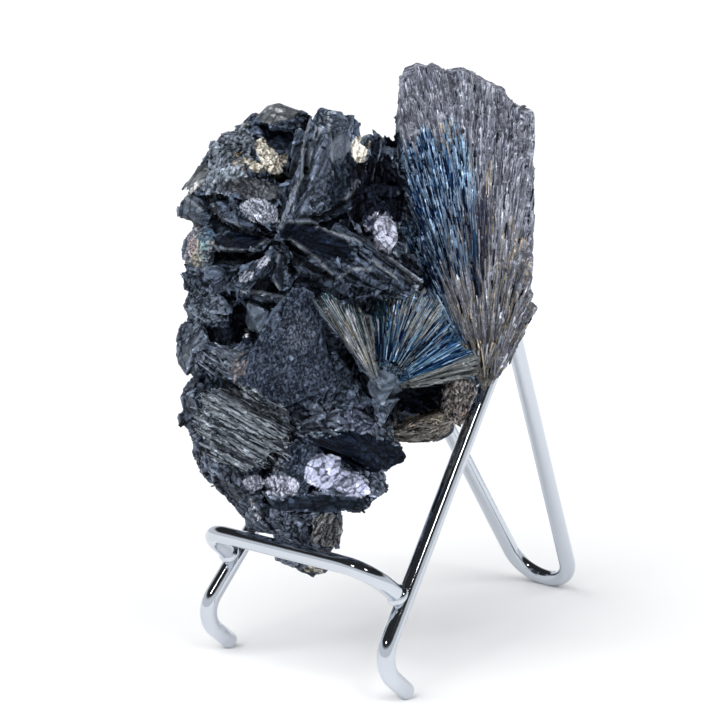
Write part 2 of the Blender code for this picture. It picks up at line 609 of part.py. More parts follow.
def chunk(name, reach_back, corners):
    """A broken or blocky crystal: the flat faces that close round its corners."""
    part = bmesh.new()
    shown = [Vector(corner) for corner in corners]
    middle = sum(shown, Vector()) / len(shown)
    for corner in shown:
        part.verts.new(middle + (corner - middle) * GROWN_INTO_NEXT)
        behind = middle + (corner - middle) * BACK_SHRINK
        behind.y = corner.y + reach_back
        part.verts.new(behind)
    hull = bmesh.ops.convex_hull(part, input=part.verts)
    inside = {v for v in hull["geom_interior"] + hull["geom_unused"] if isinstance(v, bmesh.types.BMVert)}
    bmesh.ops.delete(part, geom=list(inside), context="VERTS")
    return crystal(name, part)


def lump(name, centre, half, unevenness):
    """An angular lump: a coarse ball, uneven by a fixed noise."""
    centre, half = Vector(centre), Vector(half)
    part = bmesh.new()
    bmesh.ops.create_icosphere(part, subdivisions=2 if half.x > LARGE_LUMP else 1, radius=1.0)
    for vert in part.verts:
        push = 1 + 2 * unevenness * noise.noise(vert.co * LUMP_WAVE + centre)
        vert.co = centre + vert.co * half * push
    return crystal(name, part)


def back_crystals(rng):
    """Crystals spaced evenly over each swelling of the back, each pointing outwards."""
    for swelling, (count, centre, radii, heights, bearings) in enumerate(BACK_SWELLINGS, 1):
        for i in range(count):
            height = heights[0] + (heights[1] - heights[0]) * (i + 0.5) / count
            bearing = math.radians(bearings[0] + (bearings[1] - bearings[0]) * (i * GOLDEN_STEP % 1.0))
            level = (height - centre.z) / radii.z
            outward = Vector((math.cos(bearing), math.sin(bearing), 0.0))
            surface = centre + outward * radii * math.sqrt(1 - level * level)
            surface.z = height
            rise = level + rng.uniform(-BACK_CRYSTAL_LEAN, BACK_CRYSTAL_LEAN)
            lean = (outward + Vector((0, 0, rise))).normalized()
            root = surface - lean * BACK_CRYSTAL_ROOT
            tip = surface + lean * BACK_CRYSTAL_REACH
            widths = (BACK_CRYSTAL_WIDTHS, BACK_CRYSTAL_TIP_WIDTHS, BACK_CRYSTAL_THICKNESSES)
            sizes = [rng.uniform(*span) for span in widths]
            roll = rng.uniform(0, 180)
            form = rng.choice(("chisel", "slant", "round"))
            yield blade(f"back_crystal_{swelling}_{i + 1}", root, tip, *sizes, roll, form)


def fan_direction(bearing):
    return Vector((math.cos(math.radians(bearing)), 0, math.sin(math.radians(bearing))))


def great_fan(rng):
    for i, (bearing, reach, depth) in enumerate(GREAT_FAN, 1):
        root = GREAT_FAN_FOCUS + fan_direction(bearing) * GREAT_FAN_START
        tip = GREAT_FAN_FOCUS + fan_direction(bearing) * reach
        root.y += rng.uniform(-FAN_ROOT_JITTER, FAN_ROOT_JITTER)
        tip.y = depth
        thickness = GREAT_FAN_THICKNESS * rng.uniform(THINNEST_STAVE, 1.0)
        size = (GREAT_FAN_START * GREAT_FAN_SPREAD * 2, reach * GREAT_FAN_SPREAD, thickness)
        roll = rng.uniform(-GREAT_STAVE_ROLL, GREAT_STAVE_ROLL)
        yield blade(f"great_stave_{i}", root, tip, *size, roll, "blunt", GREAT_FAN_RIDGE)


def needle_fan(rng):
    for i, (bearing, reach, depth) in enumerate(NEEDLE_FAN, 1):
        root = NEEDLE_FAN_FOCUS + Vector((0, rng.uniform(-FAN_ROOT_JITTER, FAN_ROOT_JITTER), 0))
        tip = NEEDLE_FAN_FOCUS + fan_direction(bearing) * reach
        tip.y = depth
        size = (NEEDLE_ROOT_WIDTH, reach * NEEDLE_FAN_SPREAD, NEEDLE_FAN_THICKNESS)
        roll = rng.uniform(-NEEDLE_STAVE_ROLL, NEEDLE_STAVE_ROLL)
        yield blade(f"needle_stave_{i}", root, tip, *size, roll, "slant", NEEDLE_FAN_RIDGE)


def jitter(rng, across, deep):
    """A small shift sideways and in or out."""
    return Vector((rng.uniform(-across, across), rng.uniform(-deep, deep), 0))


def striated_block(rng):
    for i in range(SLAB_COUNT):
        root = SLAB_ROOT + SLAB_ROOT_STEP * i + jitter(rng, *SLAB_ROOT_JITTER)
        tip = SLAB_TIP + SLAB_TIP_STEP * i + jitter(rng, *SLAB_TIP_JITTER)
        yield blade(f"slab_{i + 1}", root, tip, *SLAB_SIZE, 0, "slant", SLAB_RIDGE)


def crystal_shapes():
    rng = random.Random(SEED)
    yield from (lump(*sizes) for sizes in LUMPS)
    for group in (UPPER_LEFT, RECESS, LEFT_EDGE, CENTRE, FAN_HUB, RIGHT_LOBE, BASE):
        yield from (chunk(*sizes) for sizes in group)
    yield from (blade(*sizes) for sizes in BLADES)
    yield from back_crystals(rng)
    yield from great_fan(rng)
    yield from needle_fan(rng)
    yield from striated_block(rng)


def largest_body(bm):
    """Removes every piece of the mesh but the largest, such as pockets closed in between crystals."""
    left = set(bm.verts)
    bodies = []
    while left:
        edge = [left.pop()]
        body = set(edge)
        while edge:
            near = [e.other_vert(v) for v in edge for e in v.link_edges]
            edge = [v for v in set(near) if v in left]
            left.difference_update(edge)
            body.update(edge)
        bodies.append(body)
    bodies.sort(key=len)
    stray = [v for body in bodies[:-1] for v in body]
    bmesh.ops.delete(bm, geom=stray, context="VERTS")


def build_specimen(home, tools, face):
    """All the crystals, grown into one solid."""
    graphite = material("berthierite", (0.10, 0.105, 0.12), 0.42, 0.7)
    grown = bpy.data.collections.new("crystals")
    tools.children.link(grown)
    shapes = crystal_shapes()
    seed = bpy.data.objects.new("seed_crystal", next(shapes))
    tools.objects.link(seed)
    for mesh in shapes:
        cutter(bpy.data.objects.new(mesh.name, mesh), grown)
    boolean(seed, "UNION", "grown together", cutters=grown)
    bpy.context.view_layer.update()
    mesh = bpy.data.meshes.new_from_object(seed.evaluated_get(bpy.context.evaluated_depsgraph_get()))
    for used in [seed, *grown.objects]:
        bpy.data.objects.remove(used)
    bpy.data.collections.remove(grown)
    bm = bmesh.new()
    bm.from_mesh(mesh)
    largest_body(bm)
    bmesh.ops.dissolve_limit(bm, angle_limit=FLAT_ANGLE, verts=bm.verts, edges=bm.edges)
    bmesh.ops.triangulate(bm, faces=bm.faces)
    bm.to_mesh(mesh)
    bm.free()
    mesh.name = "specimen"
    mesh.materials.clear()
    mesh.materials.append(graphite)
    specimen = bpy.data.objects.new("specimen", mesh)
    specimen.parent = face
    home.objects.link(specimen)


def main():
    for old in list(bpy.data.objects):
        bpy.data.objects.remove(old)
    home = collection("berthierite_specimen")
    tools = collection("cutters")
    root = empty("easel_place", home, (EASEL_X * MM, EASEL_Y * MM, 0))
    face = empty("specimen_face", home, turn=FACE_TURN, parent=root)
    build_easel(home, tools, root)
    build_specimen(home, tools, face)


main()
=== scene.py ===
"""Berthierite specimen on its wire easel: the finished surfaces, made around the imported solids."""

from collections import namedtuple
from math import ceil, cos, radians, sin, tan

import bpy
import numpy as np
from mathutils import Matrix, Vector


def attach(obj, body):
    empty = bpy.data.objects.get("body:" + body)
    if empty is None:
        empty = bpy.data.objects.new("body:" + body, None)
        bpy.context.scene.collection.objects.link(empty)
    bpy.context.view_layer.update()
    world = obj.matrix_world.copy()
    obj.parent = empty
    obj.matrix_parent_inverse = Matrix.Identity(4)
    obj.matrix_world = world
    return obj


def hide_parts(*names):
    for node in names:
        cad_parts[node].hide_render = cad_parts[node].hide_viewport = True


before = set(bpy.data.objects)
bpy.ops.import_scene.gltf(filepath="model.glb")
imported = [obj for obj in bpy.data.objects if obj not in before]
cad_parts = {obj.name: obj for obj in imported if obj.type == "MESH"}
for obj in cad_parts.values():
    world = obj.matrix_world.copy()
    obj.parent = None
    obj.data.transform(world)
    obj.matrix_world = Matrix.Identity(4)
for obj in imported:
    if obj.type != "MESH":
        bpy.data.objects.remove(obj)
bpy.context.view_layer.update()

MM = 0.001
TINY = 1e-9

# The face frame: X right across the crystal face, Y into the cluster, Z up, in mm.
FACE_TURN = radians(40.6)
EASEL_PLACE = Vector((0.58, -26.77, 0))
# Marks on the face are laid out on its plan: X, and W, the height seen square to the face's lean.
FACE_LEAN = radians(11.6)

# ---------------------------------------------------------------- the wire easel, mm
WIRE_RADIUS = 1.6
FOOT_TIP = Vector((-21.5, 0, 0.8))
FRONT_BEND = Vector((-21.7, -8.1, 7.8))
SHOULDER = Vector((-15.2, 37, 61.2))
REAR_APEX = Vector((0, 95.1, -41.4))
FRONT_BEND_RADIUS = 5
SHOULDER_RADIUS = 3.5
REAR_FOOT_RADIUS = 7.2
LEDGE_CORNER = Vector((-19.8, -9, 25))
LEDGE_CORNER_RADIUS = 6
END_ROUNDING = 0.9
LEDGE_END_ROUNDING = 0.3
END_SEGMENTS = 4
RING_SIDES = 32
BEND_STEP = radians(6)
WELD_ALONG_LEG = 0.182
WELD_RADIUS = 2.1
WELD_FLATNESS = 0.55
WELD_SHIFT = 0.1
WELD_CLEARANCE = 0.3
WELD_SEGMENTS = 24
WELD_RINGS = 14

# ---------------------------------------------------------------- the fans, mm and degrees
GREAT_FOCUS = (30.5, 50.5)
GREAT_BEARINGS = (
    *(62.8, 67, 70.8, 74.2, 77.4, 79.6, 81.2, 83.4, 86.2, 88.9),
    *(91.6, 94.3, 97, 99.7, 102.4, 105, 107.5, 109.9, 112.3),
)
GREAT_REACH = (
    *(18.5, 21, 25, 30, 37, 44.5, 51.2, 52, 53.5, 55.5),
    *(57, 58.5, 58.5, 59.5, 60.5, 57.5, 50.5, 42, 31),
)
GREAT_FAN = (GREAT_FOCUS, GREAT_BEARINGS, GREAT_REACH)
# The fan's bed goes a little past its outermost needles.
GREAT_LIMITS = (GREAT_BEARINGS[0] - 8, GREAT_BEARINGS[-1] + 5)
GREAT_DEPTHS = (-1, 16)
GREAT_ROOT = 4
GREAT_MARGIN = 3
GREAT_MIDDLE_DEPTH = 7.5
GREAT_GRAIN = (GREAT_FOCUS[0], 51.5)

NEEDLE_FOCUS = (11.5, -7.0, 54.5)
NEEDLE_BEARINGS = (14, 27, 40, 53, 65, 77, 89, 101, 112, 120)
NEEDLE_REACH = (17, 15.4, 15.2, 16.6, 16.2, 15.6, 14.4, 12.5, 15, 19.4)
NEEDLE_DEPTH = (-3.4, -1.6, -0.5, 0.6, 1, 1, 1, -1.5, -6.5, -8.5)
NEEDLE_FAN = (NEEDLE_FOCUS, NEEDLE_BEARINGS, NEEDLE_REACH)
NEEDLE_LIMITS = (NEEDLE_BEARINGS[0] - 10, NEEDLE_BEARINGS[-1] + 6)
NEEDLE_ROOT = 3.5
NEEDLE_MARGIN = 1
NEEDLE_BED_DEPTH = 5
NEEDLE_GRAIN = (NEEDLE_FOCUS[0], 52.5)

# ---------------------------------------------------------------- the rock's form, mm
VOXEL = 0.26
MERGE_DISTANCE = 1e-6
SMOOTHING_PASSES = 1
SMOOTH_ANGLE = radians(28)
SEED = 11
# Each pattern's salt, which gives it chances of its own.
SALTS = {
    "great tone": 7,
    "seams": 17,
    "crests": 19,
    "rim": 23,
    "flanks": 29,
    "marks": 41,
    "front": 57,
    "wobble": 60,
    "blocks": 77,
    "plates": 88,
    "clouds": 90,
    "fine chips": 200,
    "great ribs": 301,
    "blue edge": 311,
    "needle ribs": 331,
}

# The great fan's edge, drawn into one wavy line.
RIM_START = 30
RIM_FACING = (0.15, 0.4)
RIM_REACH = 3
RIM_SHIFT = 2
RIM_WAVES = 1.2
RIM_WAVE_SIZE = 3.0
RIM_WAVE_MIDDLE = 0.4
# Its flanks, drawn upright: side, place across the face, and where each begins.
FLANKS = ((1, 38.5, 68.0), (-1, 14.7, 87.0))
FLANK_FACING = (0.2, 0.4)
FLANK_START = 3
FLANK_REACH = 2.6
FLANK_SHIFT = 1.6
FLANK_WAVES = 0.45
FLANK_WAVE_SIZE = 5.0
# The lump that hangs under the ledge, and the closed notch beside the wedge.
LUMP_MIDDLE = -2.5
LUMP_HALF_WIDTH = 6
LUMP_DEPTHS = (0.5, 8)
LUMP_TOP = 23.5
LUMP_FADE = 3.5
LUMP_DROP = 1.5
NOTCH = (9.9, 38.2, 2.6, 2.2, -30)
NOTCH_EDGE = 1.5
NOTCH_DEPTH = 9
NOTCH_CLOSING = 1.1
# What stays between the wires and the rock, its needles and its small crystals.
ROCK_CLEARANCE = 0.15
NEEDLE_CLEARANCE = 0.7
CRYSTAL_CLEARANCE = 1.6

# Which part of the surface takes the marks of the face, and how ragged their edges are.
FRONT_DEPTH = 11.0
FRONT_WAVE_SIZE = 4.0
FRONT_RAGGEDNESS = 2.5
SIDE_FACING = (0.6, 0.3)
SIDE_DEPTH_LOSS = 7.0
BACK_FACING = 0.45
MARK_WAVE_SIZE = 1.5
MARK_RAGGEDNESS = 0.22
BACK_BLOCK = 7.0
BLOCK_RAGGEDNESS = 0.2
HUB_GRAIN_RADIUS = 13.0

# The rock is finished in pieces, parted on flat hidden planes.
BACK_PARTING = 7.0
FRONT_LEVELS = (0, 50, 70, 85, 120)
BACK_LEVELS = (0, 54, 78, 120)

# ---------------------------------------------------------------- the rock's finishes


def paint(red, green, blue):
    """A colour given in screen values from 0 to 255, as linear light."""
    parts = np.array((red, green, blue)) / 255
    return np.where(parts < 0.04045, parts / 12.92, ((parts + 0.055) / 1.055) ** 2.4)


Finish = namedtuple("Finish", "dark light roughness chip stretch relief streak")

# Each finish: dark tone, light tone, roughness, chip size in mm, how far chips stretch along the grain,
# relief in mm, and the strength of its streaks.
FINISH_ROWS = {
    "graphite": ((10, 15, 22), (104, 117, 138), 0.42, 1.3, 2.6, 0.34, 0.7),
    "slate": ((25, 30, 37), (126, 138, 159), 0.40, 1.0, 5.0, 0.26, 0.9),
    # dark_rough is painted shade, on the column's shaded side.
    "dark_rough": ((5, 10, 17), (66, 79, 97), 0.50, 0.8, 1.5, 0.18, 0.3),
    "smooth_lilac": ((84, 91, 103), (134, 142, 156), 0.34, 3.0, 2.0, 0.05, 0.2),
    "smooth_gray": ((36, 41, 48), (118, 130, 147), 0.42, 2.6, 1.5, 0.12, 0.2),
    "smooth_pale": ((63, 67, 71), (146, 150, 156), 0.44, 2.4, 1.3, 0.08, 0.2),
    "dark_smooth": ((9, 14, 22), (60, 72, 91), 0.34, 2.2, 1.8, 0.10, 0.3),
    "scaly": ((27, 31, 37), (150, 160, 174), 0.45, 1.0, 1.8, 0.38, 0.5),
    "blue_gray": ((70, 78, 86), (196, 210, 226), 0.38, 0.8, 2.2, 0.24, 0.5),
    "gold": ((104, 97, 84), (255, 251, 240), 0.34, 0.9, 1.5, 0.34, 0.3),
    "cream": ((140, 134, 122), (255, 252, 244), 0.34, 1.2, 2.2, 0.28, 0.6),
    "plate": ((36, 39, 44), (112, 116, 123), 0.46, 0.9, 6.0, 0.14, 1.0),
    "lilac_striated": ((70, 74, 88), (206, 211, 226), 0.34, 0.55, 4.5, 0.16, 0.8),
    "dark_plate": ((1, 3, 11), (31, 42, 61), 0.36, 0.9, 5.0, 0.14, 1.2),
    "plate_dark": ((6, 10, 19), (98, 111, 131), 0.38, 0.8, 8.0, 0.26, 1.0),
    # Near-black painted shade for the recess, the cavities and the hole.
    "painted_hollow_shade": ((1, 1, 5), (34, 41, 56), 0.48, 1.2, 1.6, 0.36, 0.4),
    "cleavage": ((46, 50, 70), (222, 227, 246), 0.26, 1.05, 1.7, 0.12, 0.2),
    "iridescent": ((60, 68, 78), (166, 168, 174), 0.32, 0.45, 7.0, 0.26, 0.6),
    "mottled": ((21, 27, 36), (134, 146, 164), 0.44, 1.2, 1.5, 0.26, 0.4),
    "smooth_facet": ((60, 68, 80), (128, 141, 158), 0.34, 3.0, 2.0, 0.04, 0.4),
    "striated": ((19, 25, 32), (144, 156, 173), 0.42, 0.6, 8.0, 0.26, 1.0),
    "pink": ((67, 66, 71), (176, 169, 173), 0.40, 1.4, 1.5, 0.16, 0.4),
    "matte_blade": ((8, 14, 26), (98, 110, 130), 0.55, 0.45, 1.3, 0.05, 0.3),
    "rust": ((24, 24, 27), (158, 152, 150), 0.58, 0.5, 2.2, 0.22, 0.8),
    "fibrous": ((18, 18, 21), (156, 152, 146), 0.50, 0.45, 9.0, 0.24, 1.0),
    "woody": ((38, 44, 51), (164, 173, 183), 0.50, 0.6, 8.0, 0.26, 1.0),
    "lilac_cap": ((34, 40, 52), (148, 157, 182), 0.42, 1.1, 1.5, 0.20, 0.4),
    "cleaved": ((16, 21, 31), (154, 167, 190), 0.34, 1.6, 2.0, 0.34, 0.5),
    "foot": ((10, 14, 22), (124, 134, 153), 0.45, 1.2, 1.9, 0.34, 0.6),
    "brown_chunk": ((24, 25, 29), (134, 134, 136), 0.48, 0.8, 3.4, 0.30, 0.9),
    "fan_bed": ((5, 9, 17), (60, 70, 91), 0.45, 0.7, 5.0, 0.20, 1.0),
    "back_rock": ((15, 19, 26), (112, 123, 139), 0.46, 1.7, 2.4, 0.42, 0.7),
}
FINISHES = {name: Finish(paint(*row[0]), paint(*row[1]), *row[2:]) for name, row in FINISH_ROWS.items()}
FINISH_NAMES = list(FINISHES)

# Finishes that are broken into larger faces as well, some of them smooth.
PLATED = ("graphite", "foot", "back_rock", "scaly", "mottled", "slate", "striated", "plate_dark", "cleaved")
PLATE_SIZE = 4.2
PLATE_TONE = 0.34
PLATE_RISE = 0.55
SMOOTH_PLATES = 0.35
SMOOTH_EDGE = 0.3
SMOOTH_TONE = 0.5
ROUGH_TONE = 0.5
SMOOTH_RELIEF = 0.3
ROUGH_RELIEF = 0.7
# Finishes whose chips are clean whole faces.
CLEAN = ("cleavage",)
CLEAN_FACES = 0.7

CHIP_SALTS = 7
CHIP_WOBBLE = 0.35
CHIP_WOBBLE_SIZE = 2.5
FINE_CHIPS = 2.7
# How far a chip, its lean, a fine chip in it and the crack round it move the surface, as parts of the relief.
CHIP_RISE = 0.55
LEAN_RISE = 0.9
FINE_RISE = 0.22
CRACK_RISE = 0.35
CRACK_WIDTH = 0.16
# The same for the tone, from 0 to 1 between the finish's dark and light; the cracks are painted darker, as
# painted shade.
MIDDLE_SHADE = 0.42
CHIP_SHADE = 0.24
FINE_SHADE = 0.18
CLOUD_SHADE = 0.16
CLOUD_SIZE = 3.5
CRACK_SHADE = 0.5
CRACK_SHADE_WIDTH = 0.14
FINE_CRACK_WIDTH = 0.12
# Ridges are painted lighter and creases darker: a painted highlight and painted shade.
RIDGE_PASSES = 3
RIDGE_RISE = 0.11
RIDGE_LIGHT_CREASE_SHADE = 0.42
SHADE_CURVE = 1.3
ROUGHNESS_SPREAD = 0.16

HUB = (-6.0, 78.5)  # where the rosette's plates meet

# Marks on the face: name, finish, X, W, half width, half height, turn in degrees, and the grain, which is
# in degrees or the point that it leaves.
MARKS = (
    ("upper_left", "graphite", -5.0, 82.5, 22.0, 25.0, 0, HUB),
    ("middle", "graphite", 0.0, 60.0, 26.0, 14.0, 0, 60),
    ("foot", "foot", -2.0, 32.0, 20.0, 17.0, 0, -35),
    ("column", "slate", 1.0, 90.5, 3.5, 11.5, -22, HUB),
    # The column's shaded side, painted dark: painted shade.
    ("column_shade", "dark_rough", 4.5, 86.5, 2.5, 5.0, -10, HUB),
    ("column_facet", "smooth_lilac", 4.5, 94.0, 1.5, 2.5, -30, HUB),
    ("top_lump", "smooth_pale", -6.5, 100.5, 4.0, 2.5, 0, 0),
    ("hollow_ball", "dark_smooth", -6.5, 95.5, 2.5, 2.0, 0, 0),
    ("scales", "scaly", -16.0, 92.0, 5.0, 7.0, -20, 60),
    ("scale_streak", "blue_gray", -14.0, 89.0, 2.5, 1.5, -10, 60),
    ("gold_patch", "gold", -8.0, 92.0, 3.7, 1.5, -62, 60),
    ("gold_chip", "gold", -5.6, 91.9, 1.3, 0.6, 80, 60),
    ("gold_shelf", "gold", -10.6, 90.4, 1.8, 0.9, -30, 60),
    ("brown_plate", "plate", -10.5, 86.5, 4.5, 2.0, -12, HUB),
    ("lilac_plate", "lilac_striated", -9.5, 82.5, 3.5, 2.0, -15, HUB),
    ("left_lens", "dark_plate", -13.0, 77.5, 5.0, 1.5, 0, HUB),
    ("upper_fleck", "lilac_striated", -9.0, 74.0, 1.5, 1.0, 40, HUB),
    ("lower_fleck", "lilac_striated", -12.0, 71.5, 1.5, 1.0, 30, HUB),
    ("hanging_blade", "dark_smooth", -6.5, 73.0, 1.0, 4.0, 5, 90),
    ("dark_lens", "dark_plate", 0.5, 77.5, 6.5, 2.5, -18, HUB),
    ("long_plates", "plate_dark", 12.5, 74.0, 8.0, 3.5, -38, -40),
    # The recess, the cavities and the hole below are painted near-black: painted shade.
    ("recess", "painted_hollow_shade", 10.5, 86.0, 5.0, 8.0, 0, 80),
    ("cream_sliver", "cream", 8.0, 94.0, 1.5, 2.5, -10, 70),
    ("upper_cleavage", "cleavage", 12.2, 79.4, 2.2, 3.6, 12, 60),
    ("cleaved_corner", "cleavage", 9.3, 80.7, 1.0, 1.3, 0, 60),
    ("pale_lump", "smooth_pale", -21.5, 89.5, 2.5, 2.5, 0, 0),
    ("gray_lobe", "smooth_gray", -22.0, 83.5, 2.5, 3.0, 0, 0),
    ("tarnished_lobe", "iridescent", -21.0, 76.5, 3.0, 3.5, 0, 0),
    ("left_lobe", "mottled", -20.0, 66.0, 4.5, 3.0, 0, 20),
    ("low_left_lobe", "mottled", -22.0, 59.0, 3.0, 5.0, 0, 80),
    ("left_cavity", "painted_hollow_shade", -12.5, 63.5, 3.0, 4.0, 0, 0),
    ("cavity_facet", "smooth_facet", -10.5, 64.5, 2.0, 3.0, 0, 60),
    ("left_stack", "striated", -16.5, 56.5, 3.5, 3.0, 0, -20),
    ("pink_patch", "pink", -12.5, 55.0, 2.5, 3.0, 0, 45),
    ("blade_top", "matte_blade", -2.5, 63.5, 3.5, 6.0, 0, 80),
    ("blade_foot", "matte_blade", -5.0, 55.0, 8.0, 6.5, 0, 80),
    ("needle_hub", "smooth_facet", 12.0, 53.4, 3.3, 4.3, 0, 60),
    ("dark_cavity", "painted_hollow_shade", 21.0, 49.5, 6.0, 3.0, 0, 0),
    ("rim_lobe", "rust", 25.5, 49.5, 3.5, 4.5, 0, 60),
    ("fibre_lobe", "fibrous", 19.0, 44.5, 6.0, 2.5, 10, 5),
    ("wood_block", "woody", -12.5, 44.5, 9.0, 7.0, -31, -31),
    ("flank", "cleaved", 9.5, 37.0, 3.5, 4.0, 0, 70),
    ("wedge", "dark_plate", 7.6, 41.0, 9.5, 3.2, -13, -25),
    ("wedge_cap", "lilac_cap", 8.0, 46.5, 3.0, 2.5, 0, 20),
    ("foot_hole", "painted_hollow_shade", -10.0, 36.5, 2.0, 1.5, 0, 0),
    ("foot_rise", "matte_blade", -2.5, 38.0, 3.0, 5.0, 0, 80),
    ("lower_cleavage", "cleavage", 1.5, 37.2, 3.4, 3.2, 0, 30),
    ("cleavage_point", "cleavage", 5.6, 35.2, 4.4, 2.2, -28, 30),
    ("left_tooth", "lilac_striated", -11.0, 35.0, 2.0, 1.5, 0, -80),
    ("right_tooth", "lilac_striated", -6.0, 34.5, 3.5, 2.0, 0, -70),
    ("foot_band", "dark_smooth", 0.5, 31.5, 10.0, 1.5, 0, 0),
    ("foot_chunk", "brown_chunk", 2.0, 26.5, 3.0, 3.0, 0, 60),
)
# Finishes of the blocks at the back, each with its grain in degrees.
BACK_FINISHES = (
    ("back_rock", 70),
    ("graphite", 25),
    ("slate", 115),
    ("mottled", 50),
    ("back_rock", -20),
    ("striated", 100),
    ("smooth_gray", 0),
)
# A point's mark is its row in MARKS, or one of these, or a row of BACK_FINISHES after them.
NEEDLE_FAN_MARK = len(MARKS)
GREAT_FAN_MARK = NEEDLE_FAN_MARK + 1
BACK_MARK = GREAT_FAN_MARK + 1
BELOW_LAST = 0.01

# Tints over the finishes: X, W, half width, half height, turn, colour, and the share of the chips that
# take it.
TINTS = (
    (-22.9, 76.4, 1.3, 3.2, 0, (136, 134, 148), 0.6),
    (-21.6, 76.6, 0.9, 2.2, 0, (172, 152, 150), 0.6),
    (-21.0, 74.6, 1.2, 1.5, 0, (172, 164, 144), 0.6),
    (-20.2, 76.4, 0.7, 2.3, 0, (168, 172, 158), 0.55),
    (-19.5, 76.4, 0.7, 2.0, 0, (126, 158, 166), 0.6),
    (-19.3, 78.6, 1.6, 1.1, 0, (58, 90, 112), 0.6),
    (-8.0, 92.0, 3.5, 1.5, -62, (250, 242, 226), 0.6),
    (-5.6, 91.9, 1.3, 0.6, 80, (250, 243, 228), 0.6),
    (1.5, 37.2, 3.3, 3.1, 0, (174, 179, 205), 0.85),
    (5.6, 35.2, 4.3, 2.1, -28, (174, 179, 205), 0.85),
    (12.2, 79.4, 2.1, 3.5, 12, (190, 192, 212), 0.85),
    (8.0, 94.0, 1.4, 2.5, -10, (252, 246, 234), 0.6),
    (-6.3, 34.7, 3.2, 1.7, 0, (192, 194, 214), 0.5),
    (-11.2, 35.3, 1.4, 1.6, -60, (188, 188, 208), 0.5),
    # A painted highlight on the top lump.
    (-6.8, 100.1, 1.1, 0.9, 0, (196, 198, 202), 0.5),
    (-14.0, 98.5, 2.6, 1.0, 0, (176, 178, 182), 0.6),
    (-22.5, 86.5, 3.4, 0.7, 30, (206, 206, 204), 0.6),
    (2.0, 98.0, 1.2, 5.0, -25, (152, 160, 172), 0.3),
    (-12.5, 91.2, 2.6, 1.6, -30, (176, 164, 142), 0.22),
    (17.0, 71.0, 0.8, 6.0, 35, (150, 158, 172), 0.25),
    (-3.0, 62.0, 3.0, 3.5, 0, (92, 98, 110), 0.4),
    (-12.5, 61.5, 0.6, 0.9, 0, (222, 222, 226), 0.9),
    (20.0, 46.5, 4.5, 1.2, 12, (156, 146, 132), 0.4),
    (26.0, 47.5, 1.6, 2.4, 0, (146, 130, 120), 0.25),
    (-11.0, 30.0, 2.2, 0.7, -60, (196, 200, 212), 0.7),
    (2.0, 44.0, 4.0, 0.8, 10, (122, 134, 150), 0.5),
    (-0.3, 19.4, 2.4, 1.8, 0, (166, 161, 148), 0.75),
    (-5.4, 20.6, 2.8, 1.8, 0, (112, 117, 123), 0.6),
)
TINT_SHADES = (0.22, 1.35)
TINT_STRENGTH = 0.85
LEAST_LIGHT = 1e-6

# Thin raised crests and open gaps along plate edges: half width, and the points it runs through (X, W).
# The crests are painted lighter, a painted highlight, and the gaps darker, painted shade.
CRESTS = (
    (0.22, ((-0.9, 98.3), (-2.1, 93.1), (-2.1, 88.5), (-3.4, 86.0))),
    (0.19, ((-0.4, 93.3), (-1.3, 88.7))),
    (0.31, ((-3.4, 86.0), (-4.6, 82.8), (-5.7, 79.6))),
    (0.22, ((2.7, 96.0), (3.0, 91.5))),
    (0.22, ((7.4, 88.1), (5.5, 85.1), (3.0, 82.8), (0.2, 81.5))),
    (0.31, ((-4.3, 80.7), (-0.0, 80.7), (2.7, 79.0), (7.8, 77.3))),
    (0.25, ((-4.3, 77.6), (-0.4, 75.0), (3.0, 71.6))),
    (0.22, ((7.3, 79.9), (11.0, 76.2), (18.7, 70.3))),
    (0.22, ((11.0, 74.8), (18.0, 69.4))),
    (0.22, ((10.0, 74.1), (14.1, 71.0))),
    (0.25, ((-5.7, 77.3), (-6.8, 73.0))),
    (0.19, ((-6.8, 73.0), (-7.3, 71.2), (-6.2, 69.1))),
    (0.25, ((-24.4, 86.3), (-21.7, 84.6), (-19.8, 83.0))),
    (0.28, ((-18.5, 85.1), (-16.7, 82.1), (-13.0, 79.9))),
    (0.22, ((-17.3, 76.2), (-10.9, 75.8), (-7.5, 78.2))),
    (0.19, ((-19.9, 72.6), (-16.7, 74.2), (-13.5, 74.2))),
    (0.19, ((-16.7, 89.7), (-12.6, 90.6))),
    (0.22, ((3.5, 70.7), (6.4, 72.6), (9.6, 72.5))),
    (0.25, ((-12.6, 68.7), (-9.6, 68.7), (-5.7, 67.7))),
    (0.19, ((0.3, 79.6), (1.1, 80.1))),
)
GAPS = (
    (0.4, ((-0.9, 99.9), (-2.0, 96.8))),
    (0.35, ((-1.1, 93.8), (-1.4, 89.0))),
    (0.45, ((-3.2, 90.4), (-4.5, 88.5))),
    (0.25, ((-5.0, 84.4), (-6.2, 80.8))),
    (0.5, ((5.0, 84.2), (1.1, 81.4), (-2.9, 81.4))),
    (0.6, ((7.3, 84.4), (7.3, 80.7))),
    (0.6, ((-4.8, 77.1), (-2.9, 74.2), (3.0, 70.7))),
    (0.5, ((-5.9, 76.0), (-3.8, 71.9))),
    (0.3, ((10.3, 75.3), (17.6, 69.8))),
    (0.3, ((11.4, 75.5), (18.7, 69.6))),
    (0.5, ((-18.3, 75.3), (-9.6, 75.1))),
    (0.5, ((-19.8, 84.2), (-16.7, 80.7), (-9.6, 78.2))),
    (0.3, ((-9.6, 88.3), (-5.9, 88.8))),
)
CREST_HIGHLIGHT = paint(170, 178, 188)
CREST_STRENGTH = 0.65
CREST_RISE = 0.16
CREST_BREAKS = (0.75, 0.6, 0.25)
CREST_BREAK_SIZE = 0.9
GAP_DEPTH = 0.55
GAP_SHADE = 0.9
SEAM_WANDER = 0.16
SEAM_WANDER_SIZE = 1.2

# ---------------------------------------------------------------- numbers over the surface

